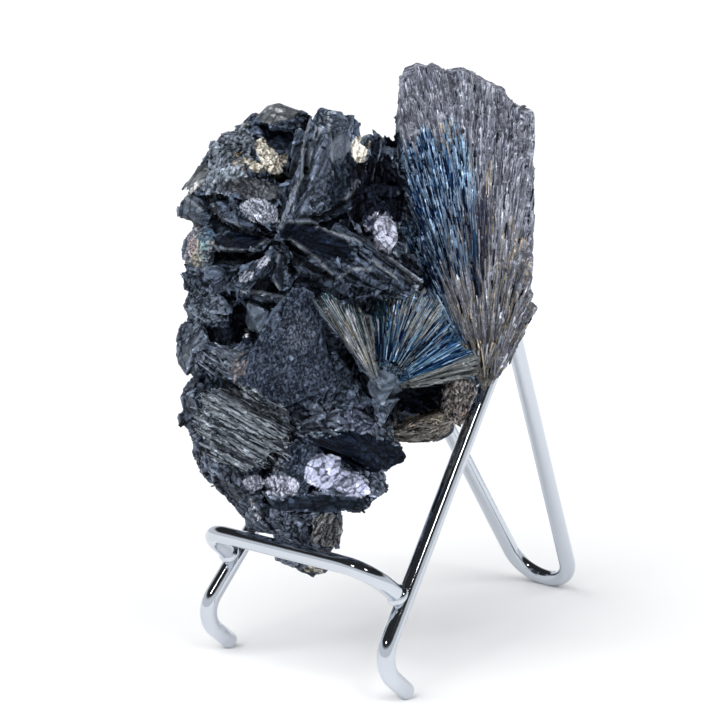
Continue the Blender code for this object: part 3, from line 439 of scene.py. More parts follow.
HASH_AXES = np.array((73856093, 19349663, 83492791))
HASH_SALT = 2654435761
HASH_STEPS = ((15, 2246822519), (13, 3266489917))
FULL_WORD = 0xFFFFFFFF
HALF_WORD = 0xFFFF
HALF_BITS = 16
CORNERS = [(x, y, z) for x in (0, 1) for y in (0, 1) for z in (0, 1)]
NEIGHBOURS = [(x, y, z) for x in (-1, 0, 1) for y in (-1, 0, 1) for z in (-1, 0, 1)]


def hashed(cells, salt):
    """Repeatable numbers from 0 to 1, one for each row of whole numbers."""
    mix = np.bitwise_xor.reduce(cells * HASH_AXES, axis=1) ^ salt * HASH_SALT
    for shift, factor in HASH_STEPS:
        mix = (mix ^ (mix >> shift)) * factor & FULL_WORD
    return ((mix ^ (mix >> HALF_BITS)) & HALF_WORD) / HALF_WORD


def signed(cells, salt):
    """The same from -1 to 1."""
    return hashed(cells, salt) * 2 - 1


def chips(points, salt):
    """For each point, in irregular chips: the gap to its chip's edge, its place in it, and the chip."""
    home = np.floor(points).astype(np.int64)
    nearest = np.full(len(points), np.inf)
    second = np.full(len(points), np.inf)
    place = np.zeros_like(points)
    chip = np.zeros_like(home)
    for step in NEIGHBOURS:
        cell = home + np.array(step)
        away = points - (cell + np.stack([hashed(cell, salt + i) for i in range(3)], axis=1))
        distance = (away**2).sum(axis=1)
        closer = distance < nearest
        second = np.where(closer, nearest, np.minimum(second, distance))
        nearest = np.where(closer, distance, nearest)
        place[closer] = away[closer]
        chip[closer] = cell[closer]
    return np.sqrt(second) - np.sqrt(nearest), place, chip


def swell(points, size, salt):
    """Smooth hills and hollows from -1 to 1, about the given size across."""
    spot = points / size
    home = np.floor(spot).astype(np.int64)
    part = spot - home
    ease = part * part * (3 - 2 * part)
    total = np.zeros(len(points))
    for corner in CORNERS:
        weight = np.prod(np.where(corner, ease, 1 - ease), axis=1)
        total += weight * hashed(home + np.array(corner), salt)
    return total * 2 - 1


def ramp(values, start, span):
    """0 up to the start, 1 past the span after it, and evenly between."""
    return np.clip((values - start) / span, 0, 1)


def fade(values, reach):
    """1 at nought, falling evenly to 0 at the reach."""
    return np.clip(1 - values / reach, 0, 1)


def between(values, low, high):
    return (values > low) & (values < high)


def dot(first, second):
    return (first * second).sum(axis=1)


def unit(vectors):
    return vectors / np.maximum(np.linalg.norm(vectors, axis=1, keepdims=True), TINY)


def turned(points, angle):
    """Points turned about the upright axis."""
    x = points[:, 0] * cos(angle) - points[:, 1] * sin(angle)
    y = points[:, 0] * sin(angle) + points[:, 1] * cos(angle)
    return np.stack([x, y, points[:, 2]], axis=1)


def to_face(points):
    """From the part's metres to the face frame's millimetres."""
    return turned(points / MM - np.array(EASEL_PLACE), -FACE_TURN)


def from_face(points):
    return (turned(points, FACE_TURN) + np.array(EASEL_PLACE)) * MM


def easel_point(point):
    """From the easel's millimetres to the part's metres."""
    return (point + EASEL_PLACE) * MM


def mirrored(point):
    return Vector((-point.x, point.y, point.z))


def plan_of(points):
    """X across the face and W up it, seen square to its lean."""
    return np.stack([points[:, 0], points[:, 2] * cos(FACE_LEAN) + points[:, 1] * sin(FACE_LEAN)], axis=1)


def oval(plan, x, w, half_width, half_height, turn):
    """How far out of an oval each point is: 0 at its middle, 1 on its edge."""
    angle = radians(turn)
    right = plan[:, 0] - x
    up = plan[:, 1] - w
    along = (right * cos(angle) + up * sin(angle)) / half_width
    across = (up * cos(angle) - right * sin(angle)) / half_height
    return np.sqrt(along**2 + across**2)


def polar(points, focus):
    """Distance and bearing in degrees from a focus, across the upright face."""
    right = points[:, 0] - focus[0]
    up = points[:, 2] - focus[-1]
    return np.hypot(right, up), np.degrees(np.arctan2(up, right))


def fan_place(points, fan):
    """Each point's distance from a fan's focus, its bearing, and how far out the fan reaches there."""
    focus, bearings, reaches = fan
    out, bearing = polar(points, focus)
    return out, bearing, np.interp(bearing, bearings, reaches)


def radial(points, focus):
    flat = points - np.array((focus[0], 0, focus[-1]))
    flat[:, 1] = 0
    return unit(flat)


def grain_place(points, grain):
    """Millimetres along the grain, across it and into the rock."""
    plan = plan_of(points)
    if isinstance(grain, tuple):
        right = plan[:, 0] - grain[0]
        up = plan[:, 1] - grain[1]
        out = np.hypot(right, up)
        return np.stack([out, np.arctan2(up, right) * HUB_GRAIN_RADIUS, points[:, 1]], axis=1)
    angle = radians(grain)
    along = plan[:, 0] * cos(angle) + plan[:, 1] * sin(angle)
    across = plan[:, 1] * cos(angle) - plan[:, 0] * sin(angle)
    return np.stack([along, across, points[:, 1]], axis=1)


def neighbour_mean(values, edges, count):
    """The mean of each vertex's neighbours."""
    degree = np.bincount(edges.ravel(), minlength=count)
    columns = []
    for column in values.T:
        total = np.bincount(edges[:, 0], weights=column[edges[:, 1]], minlength=count)
        total += np.bincount(edges[:, 1], weights=column[edges[:, 0]], minlength=count)
        columns.append(total / np.maximum(degree, 1))
    return np.stack(columns, axis=1)


# ---------------------------------------------------------------- the rock


def select_only(piece):
    bpy.ops.object.select_all(action="DESELECT")
    piece.select_set(True)
    bpy.context.view_layer.objects.active = piece


def rock_blank():
    """The specimen's solid, rebuilt in fine even facets."""
    rock = bpy.data.objects.new("rock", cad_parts["specimen"].data.copy())
    bpy.context.scene.collection.objects.link(rock)
    select_only(rock)
    bpy.ops.object.mode_set(mode="EDIT")
    bpy.ops.mesh.select_all(action="SELECT")
    bpy.ops.mesh.remove_doubles(threshold=MERGE_DISTANCE)
    bpy.ops.object.mode_set(mode="OBJECT")
    grid = rock.modifiers.new("even facets", "REMESH")
    grid.mode = "VOXEL"
    grid.voxel_size = VOXEL * MM
    bpy.ops.object.modifier_apply(modifier=grid.name)
    return rock


class Surface:
    """The rock's surface as arrays, in the face frame, mm."""

    def __init__(self, mesh):
        self.count = len(mesh.vertices)
        self.mesh = mesh
        flat = np.zeros(self.count * 3)
        mesh.vertices.foreach_get("co", flat)
        self.points = to_face(flat.reshape(-1, 3))
        self.edges = np.zeros(len(mesh.edges) * 2, np.int64)
        mesh.edges.foreach_get("vertices", self.edges)
        self.edges = self.edges.reshape(-1, 2)
        self.read_normals()

    def read_normals(self):
        flat = np.zeros(self.count * 3)
        self.mesh.vertex_normals.foreach_get("vector", flat)
        self.normals = turned(flat.reshape(-1, 3), -FACE_TURN)

    def write(self):
        self.mesh.vertices.foreach_set("co", from_face(self.points).ravel())
        self.mesh.update()
        self.read_normals()

    def smooth(self, passes):
        for _ in range(passes):
            mean = neighbour_mean(self.points, self.edges, self.count)
            self.points = (self.points + mean) / 2

    def lift(self, height):
        """Moves each point out along its normal."""
        self.points = self.points + self.normals * height[:, None]
        self.write()


def in_great_fan(points):
    out, bearing, reach = fan_place(points, GREAT_FAN)
    near = between(bearing, *GREAT_LIMITS) & between(out, GREAT_ROOT, reach + GREAT_MARGIN)
    return near & between(points[:, 1], *GREAT_DEPTHS)


def in_needle_fan(points):
    out, bearing, reach = fan_place(points, NEEDLE_FAN)
    depth = np.interp(bearing, NEEDLE_BEARINGS, NEEDLE_DEPTH)
    near = between(bearing, *NEEDLE_LIMITS) & between(out, NEEDLE_ROOT, reach + NEEDLE_MARGIN)
    return near & (points[:, 1] < depth + NEEDLE_BED_DEPTH)


def draw_rim(surface):
    """Draws the great fan's outer edge into one wavy line."""
    points = surface.points
    out, bearing, reach = fan_place(points, GREAT_FAN)
    fan = between(bearing, GREAT_BEARINGS[0], GREAT_BEARINGS[-1]) & (out > RIM_START)
    fan = fan & between(points[:, 1], *GREAT_DEPTHS)
    edge = reach + (swell(points, RIM_WAVE_SIZE, SALTS["rim"]) - RIM_WAVE_MIDDLE) * RIM_WAVES
    outward = radial(points, GREAT_FOCUS)
    shift = ramp(dot(outward, surface.normals), *RIM_FACING) * np.clip(edge - out, -RIM_SHIFT, RIM_SHIFT)
    shift = np.where((out + shift > edge) & (out < edge + RIM_REACH), edge - out, shift)
    surface.points = points + outward * (shift * fan)[:, None]


def straighten_flank(surface, side, line, top, within):
    """Draws one flank of the great fan upright and wavy. Side is 1 for the right flank, -1 for the left."""
    points = surface.points
    facing = ramp(surface.normals[:, 0] * side, *FLANK_FACING)
    upper = ramp(points[:, 2], top, FLANK_START)
    near = np.abs(points[:, 0] - line) < FLANK_REACH
    edge = line + swell(points, FLANK_WAVE_SIZE, SALTS["flanks"]) * FLANK_WAVES
    points[:, 0] += facing * upper * near * within * np.clip(edge - points[:, 0], -FLANK_SHIFT, FLANK_SHIFT)


def hang_lump(surface):
    """Lets the lump under the ledge hang lower."""
    points = surface.points
    lump = (np.abs(points[:, 0] - LUMP_MIDDLE) < LUMP_HALF_WIDTH) & between(points[:, 1], *LUMP_DEPTHS)
    points[:, 2] -= np.clip((LUMP_TOP - points[:, 2]) / LUMP_FADE, 0, 1) * lump * LUMP_DROP


def close_notch(surface):
    """Brings the wedge and the flank under it together."""
    points = surface.points
    notch = np.clip(NOTCH_EDGE - oval(plan_of(points), *NOTCH), 0, 1) * (points[:, 1] < NOTCH_DEPTH)
    points[:, 2] += notch * np.clip(surface.normals[:, 2] * 2, -1, 1) * NOTCH_CLOSING


def shape_rims(surface):
    """Corrects the outlines of the great fan, the lump and the wedge."""
    draw_rim(surface)
    within = between(surface.points[:, 1], *GREAT_DEPTHS)
    for side, line, top in FLANKS:
        straighten_flank(surface, side, line, top, within)
    hang_lump(surface)
    close_notch(surface)
    surface.write()


def wire_runs():
    """The easel's straight runs beside the rock, in the face frame: both back wires and the crossbar."""
    wires = ((FRONT_BEND, SHOULDER), (mirrored(FRONT_BEND), mirrored(SHOULDER)))
    wires += ((LEDGE_CORNER, mirrored(LEDGE_CORNER)),)
    return [to_face(np.array([easel_point(start), easel_point(end)])) for start, end in wires]


def off_wire(points, start, end):
    """The way straight out of a wire's middle line, and how far each point is from the wire's surface."""
    run = end - start
    share = np.clip(((points - start) @ run) / (run @ run), 0, 1)
    out = points - start - share[:, None] * run
    return unit(out), np.linalg.norm(out, axis=1) - WIRE_RADIUS


def beside_wires(points, reach):
    gaps = [off_wire(points, start, end)[1] for start, end in wire_runs()]
    return np.min(gaps, axis=0) < reach


def keep_off_wires(surface):
    """Presses the rock back where its relief comes too near to a wire."""
    for start, end in wire_runs():
        out, gap = off_wire(surface.points, start, end)
        surface.points = surface.points + out * np.clip(ROCK_CLEARANCE - gap, 0, None)[:, None]
    surface.write()


def facing_front(surface):
    """Which points take the marks of the face: those that look forwards, and the sides near the front."""
    sideways = ramp(np.abs(surface.normals[:, 0]), *SIDE_FACING)
    ragged = swell(surface.points, FRONT_WAVE_SIZE, SALTS["front"]) * FRONT_RAGGEDNESS
    depth = FRONT_DEPTH - sideways * SIDE_DEPTH_LOSS + ragged
    return (surface.normals[:, 1] < BACK_FACING) & (surface.points[:, 1] < depth)


def lay_marks(surface, front):
    """Gives each point its mark."""
    plan = plan_of(surface.points)
    ragged = swell(surface.points, MARK_WAVE_SIZE, SALTS["marks"]) * MARK_RAGGEDNESS
    salt = SALTS["blocks"]
    _, _, block = chips(surface.points / BACK_BLOCK + BLOCK_RAGGEDNESS * ragged[:, None], salt)
    pick = hashed(block, salt + 1) * (len(BACK_FINISHES) - BELOW_LAST)
    mark = BACK_MARK + pick.astype(np.int64)
    for i, (_, _, x, w, half_width, half_height, turn, _) in enumerate(MARKS):
        inside = oval(plan, x, w, half_width, half_height, turn) + ragged < 1
        mark[inside & front] = i
    mark[in_needle_fan(surface.points) & front] = NEEDLE_FAN_MARK
    mark[in_great_fan(surface.points)] = GREAT_FAN_MARK
    return mark


def marked(mark, *names):
    return np.isin(mark, [i for i, row in enumerate(MARKS) if row[0] in names])


def mark_rows():
    """The finish and grain of each mark."""
    rows = [(finish, grain) for _, finish, _, _, _, _, _, grain in MARKS]
    rows.append(("fan_bed", NEEDLE_GRAIN))
    rows.append(("fan_bed", GREAT_GRAIN))
    rows.extend(BACK_FINISHES)
    return rows


def lay_grain(surface, mark):
    grain = np.zeros((surface.count, 3))
    for i, (_, direction) in enumerate(mark_rows()):
        here = mark == i
        grain[here] = grain_place(surface.points[here], direction)
    return grain


def ridges(surface):
    """How far each point stands out of its surroundings: above 0 on a ridge, below in a crease."""
    near = surface.points
    for _ in range(RIDGE_PASSES):
        near = neighbour_mean(near, surface.edges, surface.count)
    return dot(surface.points - near, surface.normals)


def leaning(place, cells, salts):
    """How far each point stands out of its chip's middle, where each chip leans its own way."""
    lean = np.stack([hashed(cells, salt) for salt in salts], axis=1) * 2 - 1
    return dot(lean, place)


def plates(points):
    """Larger broken faces: how rough each is from 0 to 1, its tone, and how far each point stands out."""
    salt = SALTS["plates"]
    _, place, plate = chips(points / PLATE_SIZE, salt)
    rough = ramp(hashed(plate, salt + 6), SMOOTH_PLATES, SMOOTH_EDGE)
    tone = (hashed(plate, salt + 7) - 0.5) * PLATE_TONE
    return rough, tone, leaning(place, plate, range(salt + 3, salt + 6)) * PLATE_RISE


def chipped(points, grain, i):
    """One finish's chips: how far each point stands out, its shade, with painted shade in its cracks, and its
    roughness and sparkle.

    Each finish has salts of its own, a few for the chips and a few for the fine chips in them.
    """
    name = FINISH_NAMES[i]
    finish = FINISHES[name]
    salt = i * CHIP_SALTS
    fine_salt = salt + SALTS["fine chips"]
    spot = grain / (finish.chip * np.array((finish.stretch, 1.0, 1.0)))
    wobble = swell(points, finish.chip * CHIP_WOBBLE_SIZE, i + SALTS["wobble"])
    spot = spot + wobble[:, None] * CHIP_WOBBLE
    gap, place, chip = chips(spot, salt)
    step = signed(chip, salt + 6)
    fine_gap, _, fine_chip = chips(spot * FINE_CHIPS, fine_salt)
    clean = CLEAN_FACES * (name in CLEAN)
    fine_gap = fine_gap + clean
    fine_step = signed(fine_chip, fine_salt + 6) * (1 - clean)
    lean = leaning(place, chip, range(salt + 3, salt + 6))
    rise = step * CHIP_RISE + lean * LEAN_RISE + fine_step * FINE_RISE
    rise -= fade(gap, CRACK_WIDTH) * CRACK_RISE
    clouds = swell(points, CLOUD_SIZE, i + SALTS["clouds"])
    shade = step * CHIP_SHADE + fine_step * FINE_SHADE + clouds * CLOUD_SHADE
    # Painted shade in the cracks round the chips and the fine chips.
    shade -= fade(gap, CRACK_SHADE_WIDTH) * CRACK_SHADE + fade(fine_gap, FINE_CRACK_WIDTH) * FINE_SHADE
    roughness = finish.roughness + (hashed(chip, salt + 9) - 0.5) * ROUGHNESS_SPREAD
    return rise, shade, roughness, hashed(fine_chip, salt + 8)


def break_surface(surface, mark, grain):
    """Breaks each finish into its chips: returns the tone and the gloss of each point."""
    gloss = np.zeros((surface.count, 3))
    height = np.zeros(surface.count)
    shade = np.zeros(surface.count)
    rough, plate_tone, plate_rise = plates(surface.points)
    finish_of = np.array([FINISH_NAMES.index(finish) for finish, _ in mark_rows()])[mark]
    for i, (name, finish) in enumerate(FINISHES.items()):
        here = finish_of == i
        if not here.any():
            continue
        rise, value, gloss[here, 0], gloss[here, 1] = chipped(surface.points[here], grain[here], i)
        if name in PLATED:
            value = value * (SMOOTH_TONE + ROUGH_TONE * rough[here]) + plate_tone[here]
            rise = rise * (SMOOTH_RELIEF + ROUGH_RELIEF * rough[here]) + plate_rise[here] / finish.relief
        height[here] = rise * finish.relief
        shade[here] = MIDDLE_SHADE + value
        gloss[here, 2] = finish.streak
    surface.lift(height)
    # Painted highlight on the ridges and painted shade in the creases.
    shade = shade + np.clip(ridges(surface) / RIDGE_RISE, -1, 1) * RIDGE_LIGHT_CREASE_SHADE
    shade = np.clip(shade, 0, 1)[:, None]
    darks = np.array([finish.dark for finish in FINISHES.values()])[finish_of]
    lights = np.array([finish.light for finish in FINISHES.values()])[finish_of]
    return darks + (lights - darks) * shade**SHADE_CURVE, gloss


def seam_weight(surface, seams, front):
    """How strongly each point belongs to some seams: 1 on their lines, falling to 0 beside them."""
    plan = plan_of(surface.points)
    wander = swell(surface.points, SEAM_WANDER_SIZE, SALTS["seams"]) * SEAM_WANDER
    found = np.zeros(surface.count)
    for width, route in seams:
        for start, end in zip(route, route[1:]):
            run = np.array(end) - np.array(start)
            share = np.clip(((plan - np.array(start)) @ run) / (run @ run), 0, 1)
            away = np.linalg.norm(plan - np.array(start) - share[:, None] * run, axis=1)
            found = np.maximum(found, np.exp(-(((away + wander) / width) ** 2)) * front)
    return found


def cut_seams(surface, front, tone):
    """Raises the crests and opens the gaps, and returns the tone with a painted highlight on the crests and
    painted shade in the gaps.
    """
    crest = seam_weight(surface, CRESTS, front)
    gap = seam_weight(surface, GAPS, front)
    middle, depth, least = CREST_BREAKS
    breaks = swell(surface.points, CREST_BREAK_SIZE, SALTS["crests"])
    crest = crest * (1 - gap) * np.clip(middle + depth * breaks, least, 1)
    surface.lift(crest * CREST_RISE - gap * GAP_DEPTH)
    # Painted highlight along the crests, painted shade in the gaps.
    tone = tone + (CREST_HIGHLIGHT - tone) * (crest * CREST_STRENGTH)[:, None]
    return tone * (1 - gap * GAP_SHADE)[:, None]


def tinted(tone, points, front, share):
    """Lays the tints over part of the chips: share is each one's own number from 0 to 1."""
    plan = plan_of(points)
    for x, w, half_width, half_height, turn, colour, part in TINTS:
        inside = oval(plan, x, w, half_width, half_height, turn) < 1
        here = inside & (share < part) & front
        light = tone[here].sum(axis=1, keepdims=True)
        shade = np.clip(light / max(light.mean(), LEAST_LIGHT), *TINT_SHADES) if here.any() else 1.0
        tone[here] += (paint(*colour) * shade - tone[here]) * TINT_STRENGTH
    return tone


def write_attributes(mesh, tone, gloss, grain):
    colour = np.concatenate([tone, np.ones((len(tone), 1))], axis=1)
    mesh.attributes.new("tone", "FLOAT_COLOR", "POINT").data.foreach_set("color", colour.ravel())
    for name, values in (("gloss", gloss), ("grain", grain)):
        mesh.attributes.new(name, "FLOAT_VECTOR", "POINT").data.foreach_set("vector", values.ravel())


def part_off(piece, place, outward):
    """Cuts a piece flat and keeps the side away from the normal."""
    turn = Matrix.Rotation(FACE_TURN, 3, "Z")
    select_only(piece)
    bpy.ops.object.mode_set(mode="EDIT")
    bpy.ops.mesh.select_all(action="SELECT")
    bpy.ops.mesh.bisect(
        plane_co=(turn @ place + EASEL_PLACE) * MM,
        plane_no=turn @ outward,
        use_fill=True,
        clear_outer=True,
        threshold=MERGE_DISTANCE,
    )
    bpy.ops.object.mode_set(mode="OBJECT")


def twin(piece, name):
    other = piece.copy()
    other.data = piece.data.copy()
    other.name = other.data.name = name
    bpy.context.scene.collection.objects.link(other)
    return other


def rock_pieces(rock):
    """Parts the rock into slabs of its front and of its back."""
    pieces = []
    for side, levels, behind in (("front", FRONT_LEVELS, 1), ("back", BACK_LEVELS, -1)):
        half = twin(rock, side)
        part_off(half, Vector((0, BACK_PARTING, 0)), Vector((0, behind, 0)))
        for i, (low, high) in enumerate(zip(levels, levels[1:])):
            slab = twin(half, f"specimen_{side}_{i + 1}")
            part_off(slab, Vector((0, 0, low)), Vector((0, 0, -1)))
            part_off(slab, Vector((0, 0, high)), Vector((0, 0, 1)))
            pieces.append(slab)
        bpy.data.objects.remove(half)
    bpy.data.objects.remove(rock)
    return pieces


# ---------------------------------------------------------------- needles and small crystals

NAVY = paint(6, 20, 52)
SLATE_BLUE = paint(108, 130, 156)
STEEL = paint(156, 182, 210)
ICE = paint(164, 196, 226)
LILAC_GRAY = paint(140, 144, 158)
DARK_LILAC = paint(96, 99, 114)
PALE_LILAC = paint(190, 193, 205)
SOOT = paint(22, 27, 40)
SAND = paint(178, 164, 142)
WOOD_GRAY = paint(132, 134, 141)
TAN = paint(146, 149, 150)
OLIVE = paint(114, 120, 122)
OCHRE = paint(166, 152, 122)
BROWN = paint(122, 118, 104)
BARK = paint(104, 106, 106)
DEEP_BLUE = paint(38, 76, 116)
SEA_BLUE = paint(98, 126, 148)
DARK_TEAL = paint(44, 66, 76)

# Palettes: colours, each with its share.
TOP_COLOURS = ((LILAC_GRAY, 6), (DARK_LILAC, 2), (PALE_LILAC, 3), (SOOT, 0.4))
BLUE_COLOURS = ((NAVY, 2.9), (SLATE_BLUE, 3.8), (STEEL, 2.4), (SOOT, 0.8), (DEEP_BLUE, 1.7))
INNER_COLOURS = ((SLATE_BLUE, 3), (WOOD_GRAY, 2), (NAVY, 2))
ROOT_COLOURS = ((WOOD_GRAY, 5), (SAND, 1), (LILAC_GRAY, 3), (PALE_LILAC, 1), (SOOT, 0.5))
LEFT_COLOURS = ((TAN, 3.6), (OLIVE, 3.6), (WOOD_GRAY, 3), (SOOT, 0.6))
MIDDLE_COLOURS = ((SOOT, 3), (NAVY, 3), (SEA_BLUE, 2.4), (TAN, 1.6), (DEEP_BLUE, 1.4))
RIGHT_COLOURS = ((SEA_BLUE, 2.6), (TAN, 1.7), (STEEL, 0.9), (NAVY, 3.2), (DEEP_BLUE, 2.6), (OLIVE, 0.7))
BAND_COLOURS = ((DEEP_BLUE, 4), (NAVY, 2), (SEA_BLUE, 2), (STEEL, 0.8))
RIM_COLOURS = ((OLIVE, 4), (BARK, 3), (SOOT, 0.8))
WING_PALETTES = (LEFT_COLOURS, MIDDLE_COLOURS, RIGHT_COLOURS, BAND_COLOURS, RIM_COLOURS)

# Where the great fan's colours meet, mm and degrees about its focus.
BLUE_BEARING = 94.5
BLUE_REACH = 48.5
BLUE_RIBS = (0.9, 9.0)
BLUE_RAGGEDNESS = 4.5
EDGE_SIZE = 3.0
EDGE_RAGGEDNESS = 1.5
INNER_PATCH = (26.0, 72.0, 3.4, 12.0, 0)
INNER_RAGGEDNESS = 0.15
RIGHT_ROOTS = (92, 30)
LEFT_ROOTS = (112, 22)
RIB_DEPTH = 6
# Tints over the great fan, in the same form as the tints over the rock.
FAN_TINTS = (
    (24.5, 95.5, 1.4, 4.5, 12, ICE, 0.45),
    (26.8, 90.0, 1.5, 4.5, 12, ICE, 0.55),
    (28.3, 84.0, 1.2, 4.5, 8, ICE, 0.5),
    (28.9, 78.5, 1.7, 9.5, -2, NAVY, 0.85),
    # The sand-coloured spots are warm glints painted into the needles' colour: painted highlights.
    (30.2, 88.5, 0.9, 4.0, 0, SAND, 0.3),
    (22.8, 97.0, 1.2, 2.5, 0, SAND, 0.3),
    (27.5, 89.0, 1.0, 1.6, 0, SAND, 0.35),
    (32.5, 70.5, 1.0, 2.0, -10, SAND, 0.35),
    (29.5, 61.0, 0.5, 4.0, 0, SAND, 0.3),
    (24.0, 62.5, 0.9, 4.0, 28, ICE, 0.7),
    (19.5, 78.5, 1.6, 10.0, 18, NAVY, 0.5),
    (33.0, 83.5, 1.6, 3.5, 0, PALE_LILAC, 0.4),
    (29.5, 55.0, 3.6, 2.2, 20, BROWN, 0.65),
)
FAN_TINT_STRENGTH = 0.8
FAN_TINT_DEPTH = 7

# Where the needle fan's colours meet, in degrees, and the spots of other colours toward its edge: colour,
# share, bearings, and where they start as a part of the fan's reach.
LEFT_WING = 98
RIGHT_WING = 84
BLUE_BAND = (19, 38)
LEFT_WING_LIGHT = 1.25
WING_SPOTS = (
    (TAN, 0.4, (50, 84), 0.6),
    (DARK_TEAL, 0.7, (84, 180), 0.85),
)
# Warm needles: their bearing, how far out, and how far they spread about both.
WARM_SPOT = (113, 5, 0.55, 0.12)
WARM_SHARE = 0.25

# A needle has four corners at its root, four at its shoulder, and its tip.
NEEDLE_FACES = np.array(
    [(0, 1, 5), (0, 5, 4), (1, 2, 6), (1, 6, 5), (2, 3, 7), (2, 7, 6), (3, 0, 4), (3, 4, 7)]
    + [(4, 5, 8), (5, 6, 8), (6, 7, 8), (7, 4, 8), (0, 3, 2), (0, 2, 1)]
)
NEEDLE_CORNERS = 9
NEEDLE_RING = ((-1, -1), (1, -1), (1, 1), (-1, 1))
NEEDLE_ROLL = 0.7
ROOT_SIZE = 0.8
TIP_SWAY = 0.35
# Each needle is painted darker at its root and lighter at its tip: painted shade and painted light.
ROOT_SHADE_TIP_LIGHT = np.array([0.8] * 4 + [1.0] * 4 + [1.1])
CORNER_SIDES = np.array((-0.2, 0.2, 0.2, -0.2, -0.2, 0.2, 0.2, -0.2, 0))
STREAK_PLACES = 90
PICK_JITTER = 0.2

# How each kind grows: its width in mm, its thickness as a part of that, how far it sways off its grain, its
# brightness, and its gloss, which is the roughness from and to and the strength of its streaks. A crystal's
# width is a part of its length.
Growth = namedtuple("Growth", "width thickness sway light gloss")
GREAT = Growth((0.15, 0.36), (0.35, 0.6), 0.016, (0.72, 1.12), (0.3, 0.5, 0.6))
FINE = Growth((0.12, 0.24), (0.5, 0.9), 0.02, (0.8, 1.15), (0.28, 0.45, 0.5))
SPLINTER = Growth((0.14, 0.36), 0.5, 0.04, (0.6, 1.25), (0.35, 0.55, 0.8))
CRYSTAL = Growth((0.16, 0.42), (0.35, 0.8), 1, (0.6, 1.7), (0.25, 0.45, 0.6))

# The great fan's needles, mm and degrees: how long they are, how far they stand out of their bed on its ribs
# and toward its edges, and where they are fewer, shorter or freer.
GREAT_NEEDLES = 14000
GREAT_RIBS = (0.75, 5.0)
GREAT_KEEP = 0.25
GREAT_LENGTH = (2.5, 9.0)
TOP_SHORTER = 0.7
EDGE_SHORTER = 0.5
FREE_THICKER = 0.5
GREAT_TIP = (0.5, 2.2)
GREAT_RISE = (-0.08, 0.05)
GREAT_SUNK = -0.06
RIB_RISE = 0.12
EDGE_SUNK = 0.1
FREE_RISE = 0.8
BEHIND = (0.35, 0.75)
RIB_LIGHT = 0.85
TOP_RIB_LIGHT = 0.35
RIM_LIMIT = 0.5
RIGHT_FLANK_LIMIT = 0.5
LEFT_FLANK_LIMIT = -0.6
LEFT_FLANK_START = 92
RIGHT_EDGE_BEARINGS = 14
RIGHT_EDGE_REACH = 40
TOP_START = 0.55
TOP_SPAN = 0.3
FREE_BEARING = 93
FREE_SPAN = 5
BESIDE_WIRE_LENGTH = 0.9
BESIDE_WIRE_RISE = -0.2
SHARES_ALONG = (0, 0.25, 0.5, 0.75, 1)
END_MARGIN = 0.1

# The needle fan's needles, mm and degrees: how long they are, how far they stand forward, how their ribs take
# the light, and where they start about the hub.
FAN_NEEDLES = 12000
NEEDLE_RIBS = (2.4, 6.0)
NEEDLE_TIP = 2.5
NEEDLE_HALF = (1.0, 4.5)
FREE_TIP = 0.4
RIB_REACH = 1.1
TIP_LOSS = 3.0
NEEDLE_LIFT = (-0.1, 0.3)
RIB_LIFT = 0.25
FAR_RIB_LIFT = 0.5
FINE_LIGHT = 0.88
FINE_LIGHTS = (0.08, 1.5)
FINE_RIB_LIGHT = 0.9
FAR_RIB_LIGHT = 0.5
NEEDLE_FACING = -0.1
DIP_BEARING = 91
DIP_WIDTH = 7
DIP_DEPTH = 0.22
HUB_COVER = 5.2
LEFT_HUB_BEARING = 104
LEFT_HUB_COVER = 2.6
HUB_SPREAD = 0.6
LEAST_NEEDLE = 0.8

# How splinters and small crystals lie in the surface, mm or parts of their length and width.
SPLINTER_KEEP = 0.1
SHORTEST_SPLINTER = 0.3
SPLINTER_SUNK = (-0.16, 0.0)
SPLINTER_TIP = 2
CRYSTAL_LEAN = -0.1
CRYSTAL_SUNK = 0.12
CRYSTAL_BEHIND = 0.45


def ribs(points, focus, size, salt):
    """Long ribs running out from a focus, from -1 in a groove to 1 on a crest. Size is degrees by mm."""
    out, bearing = polar(points, focus)
    width, length = size
    return swell(np.stack([bearing / width, out / length, points[:, 1] / RIB_DEPTH], axis=1), 1.0, salt)


def piece_from(name, points, faces, tone, gloss, grain):
    """A mesh piece from arrays of corners and triangles in the face frame."""
    mesh = bpy.data.meshes.new(name)
    mesh.vertices.add(len(points))
    mesh.vertices.foreach_set("co", from_face(points).ravel())
    mesh.loops.add(faces.size)
    mesh.loops.foreach_set("vertex_index", faces.ravel().astype(np.int32))
    mesh.polygons.add(len(faces))
    mesh.polygons.foreach_set("loop_start", np.arange(0, faces.size, 3, dtype=np.int32))
    mesh.update(calc_edges=True)
    write_attributes(mesh, tone.reshape(-1, 3), gloss.reshape(-1, 3), grain.reshape(-1, 3))
    piece = bpy.data.objects.new(name, mesh)
    bpy.context.scene.collection.objects.link(piece)
    return piece


def needle_corners(root, along, up, size, rng):
    """The corners of many needles, from their places, directions, sides and sizes."""
    length, width, thickness, tip = size
    side = unit(np.cross(up, along))
    out = np.cross(along, side)
    roll = rng.uniform(-NEEDLE_ROLL, NEEDLE_ROLL, len(root))[:, None]
    across = side * np.cos(roll) + out * np.sin(roll)
    thick = out * np.cos(roll) - side * np.sin(roll)
    half_width = across * width[:, None] / 2
    half_thick = thick * thickness[:, None] / 2
    shoulder = root + along * (length - tip)[:, None]
    sway = rng.uniform(-TIP_SWAY, TIP_SWAY, len(root)) * width
    corners = []
    for place, scale in ((root, ROOT_SIZE), (shoulder, 1.0)):
        for a, b in NEEDLE_RING:
            corners.append(place + (half_width * a + half_thick * b) * scale)
    corners.append(root + along * length[:, None] + across * sway[:, None])
    return np.stack(corners, axis=1)


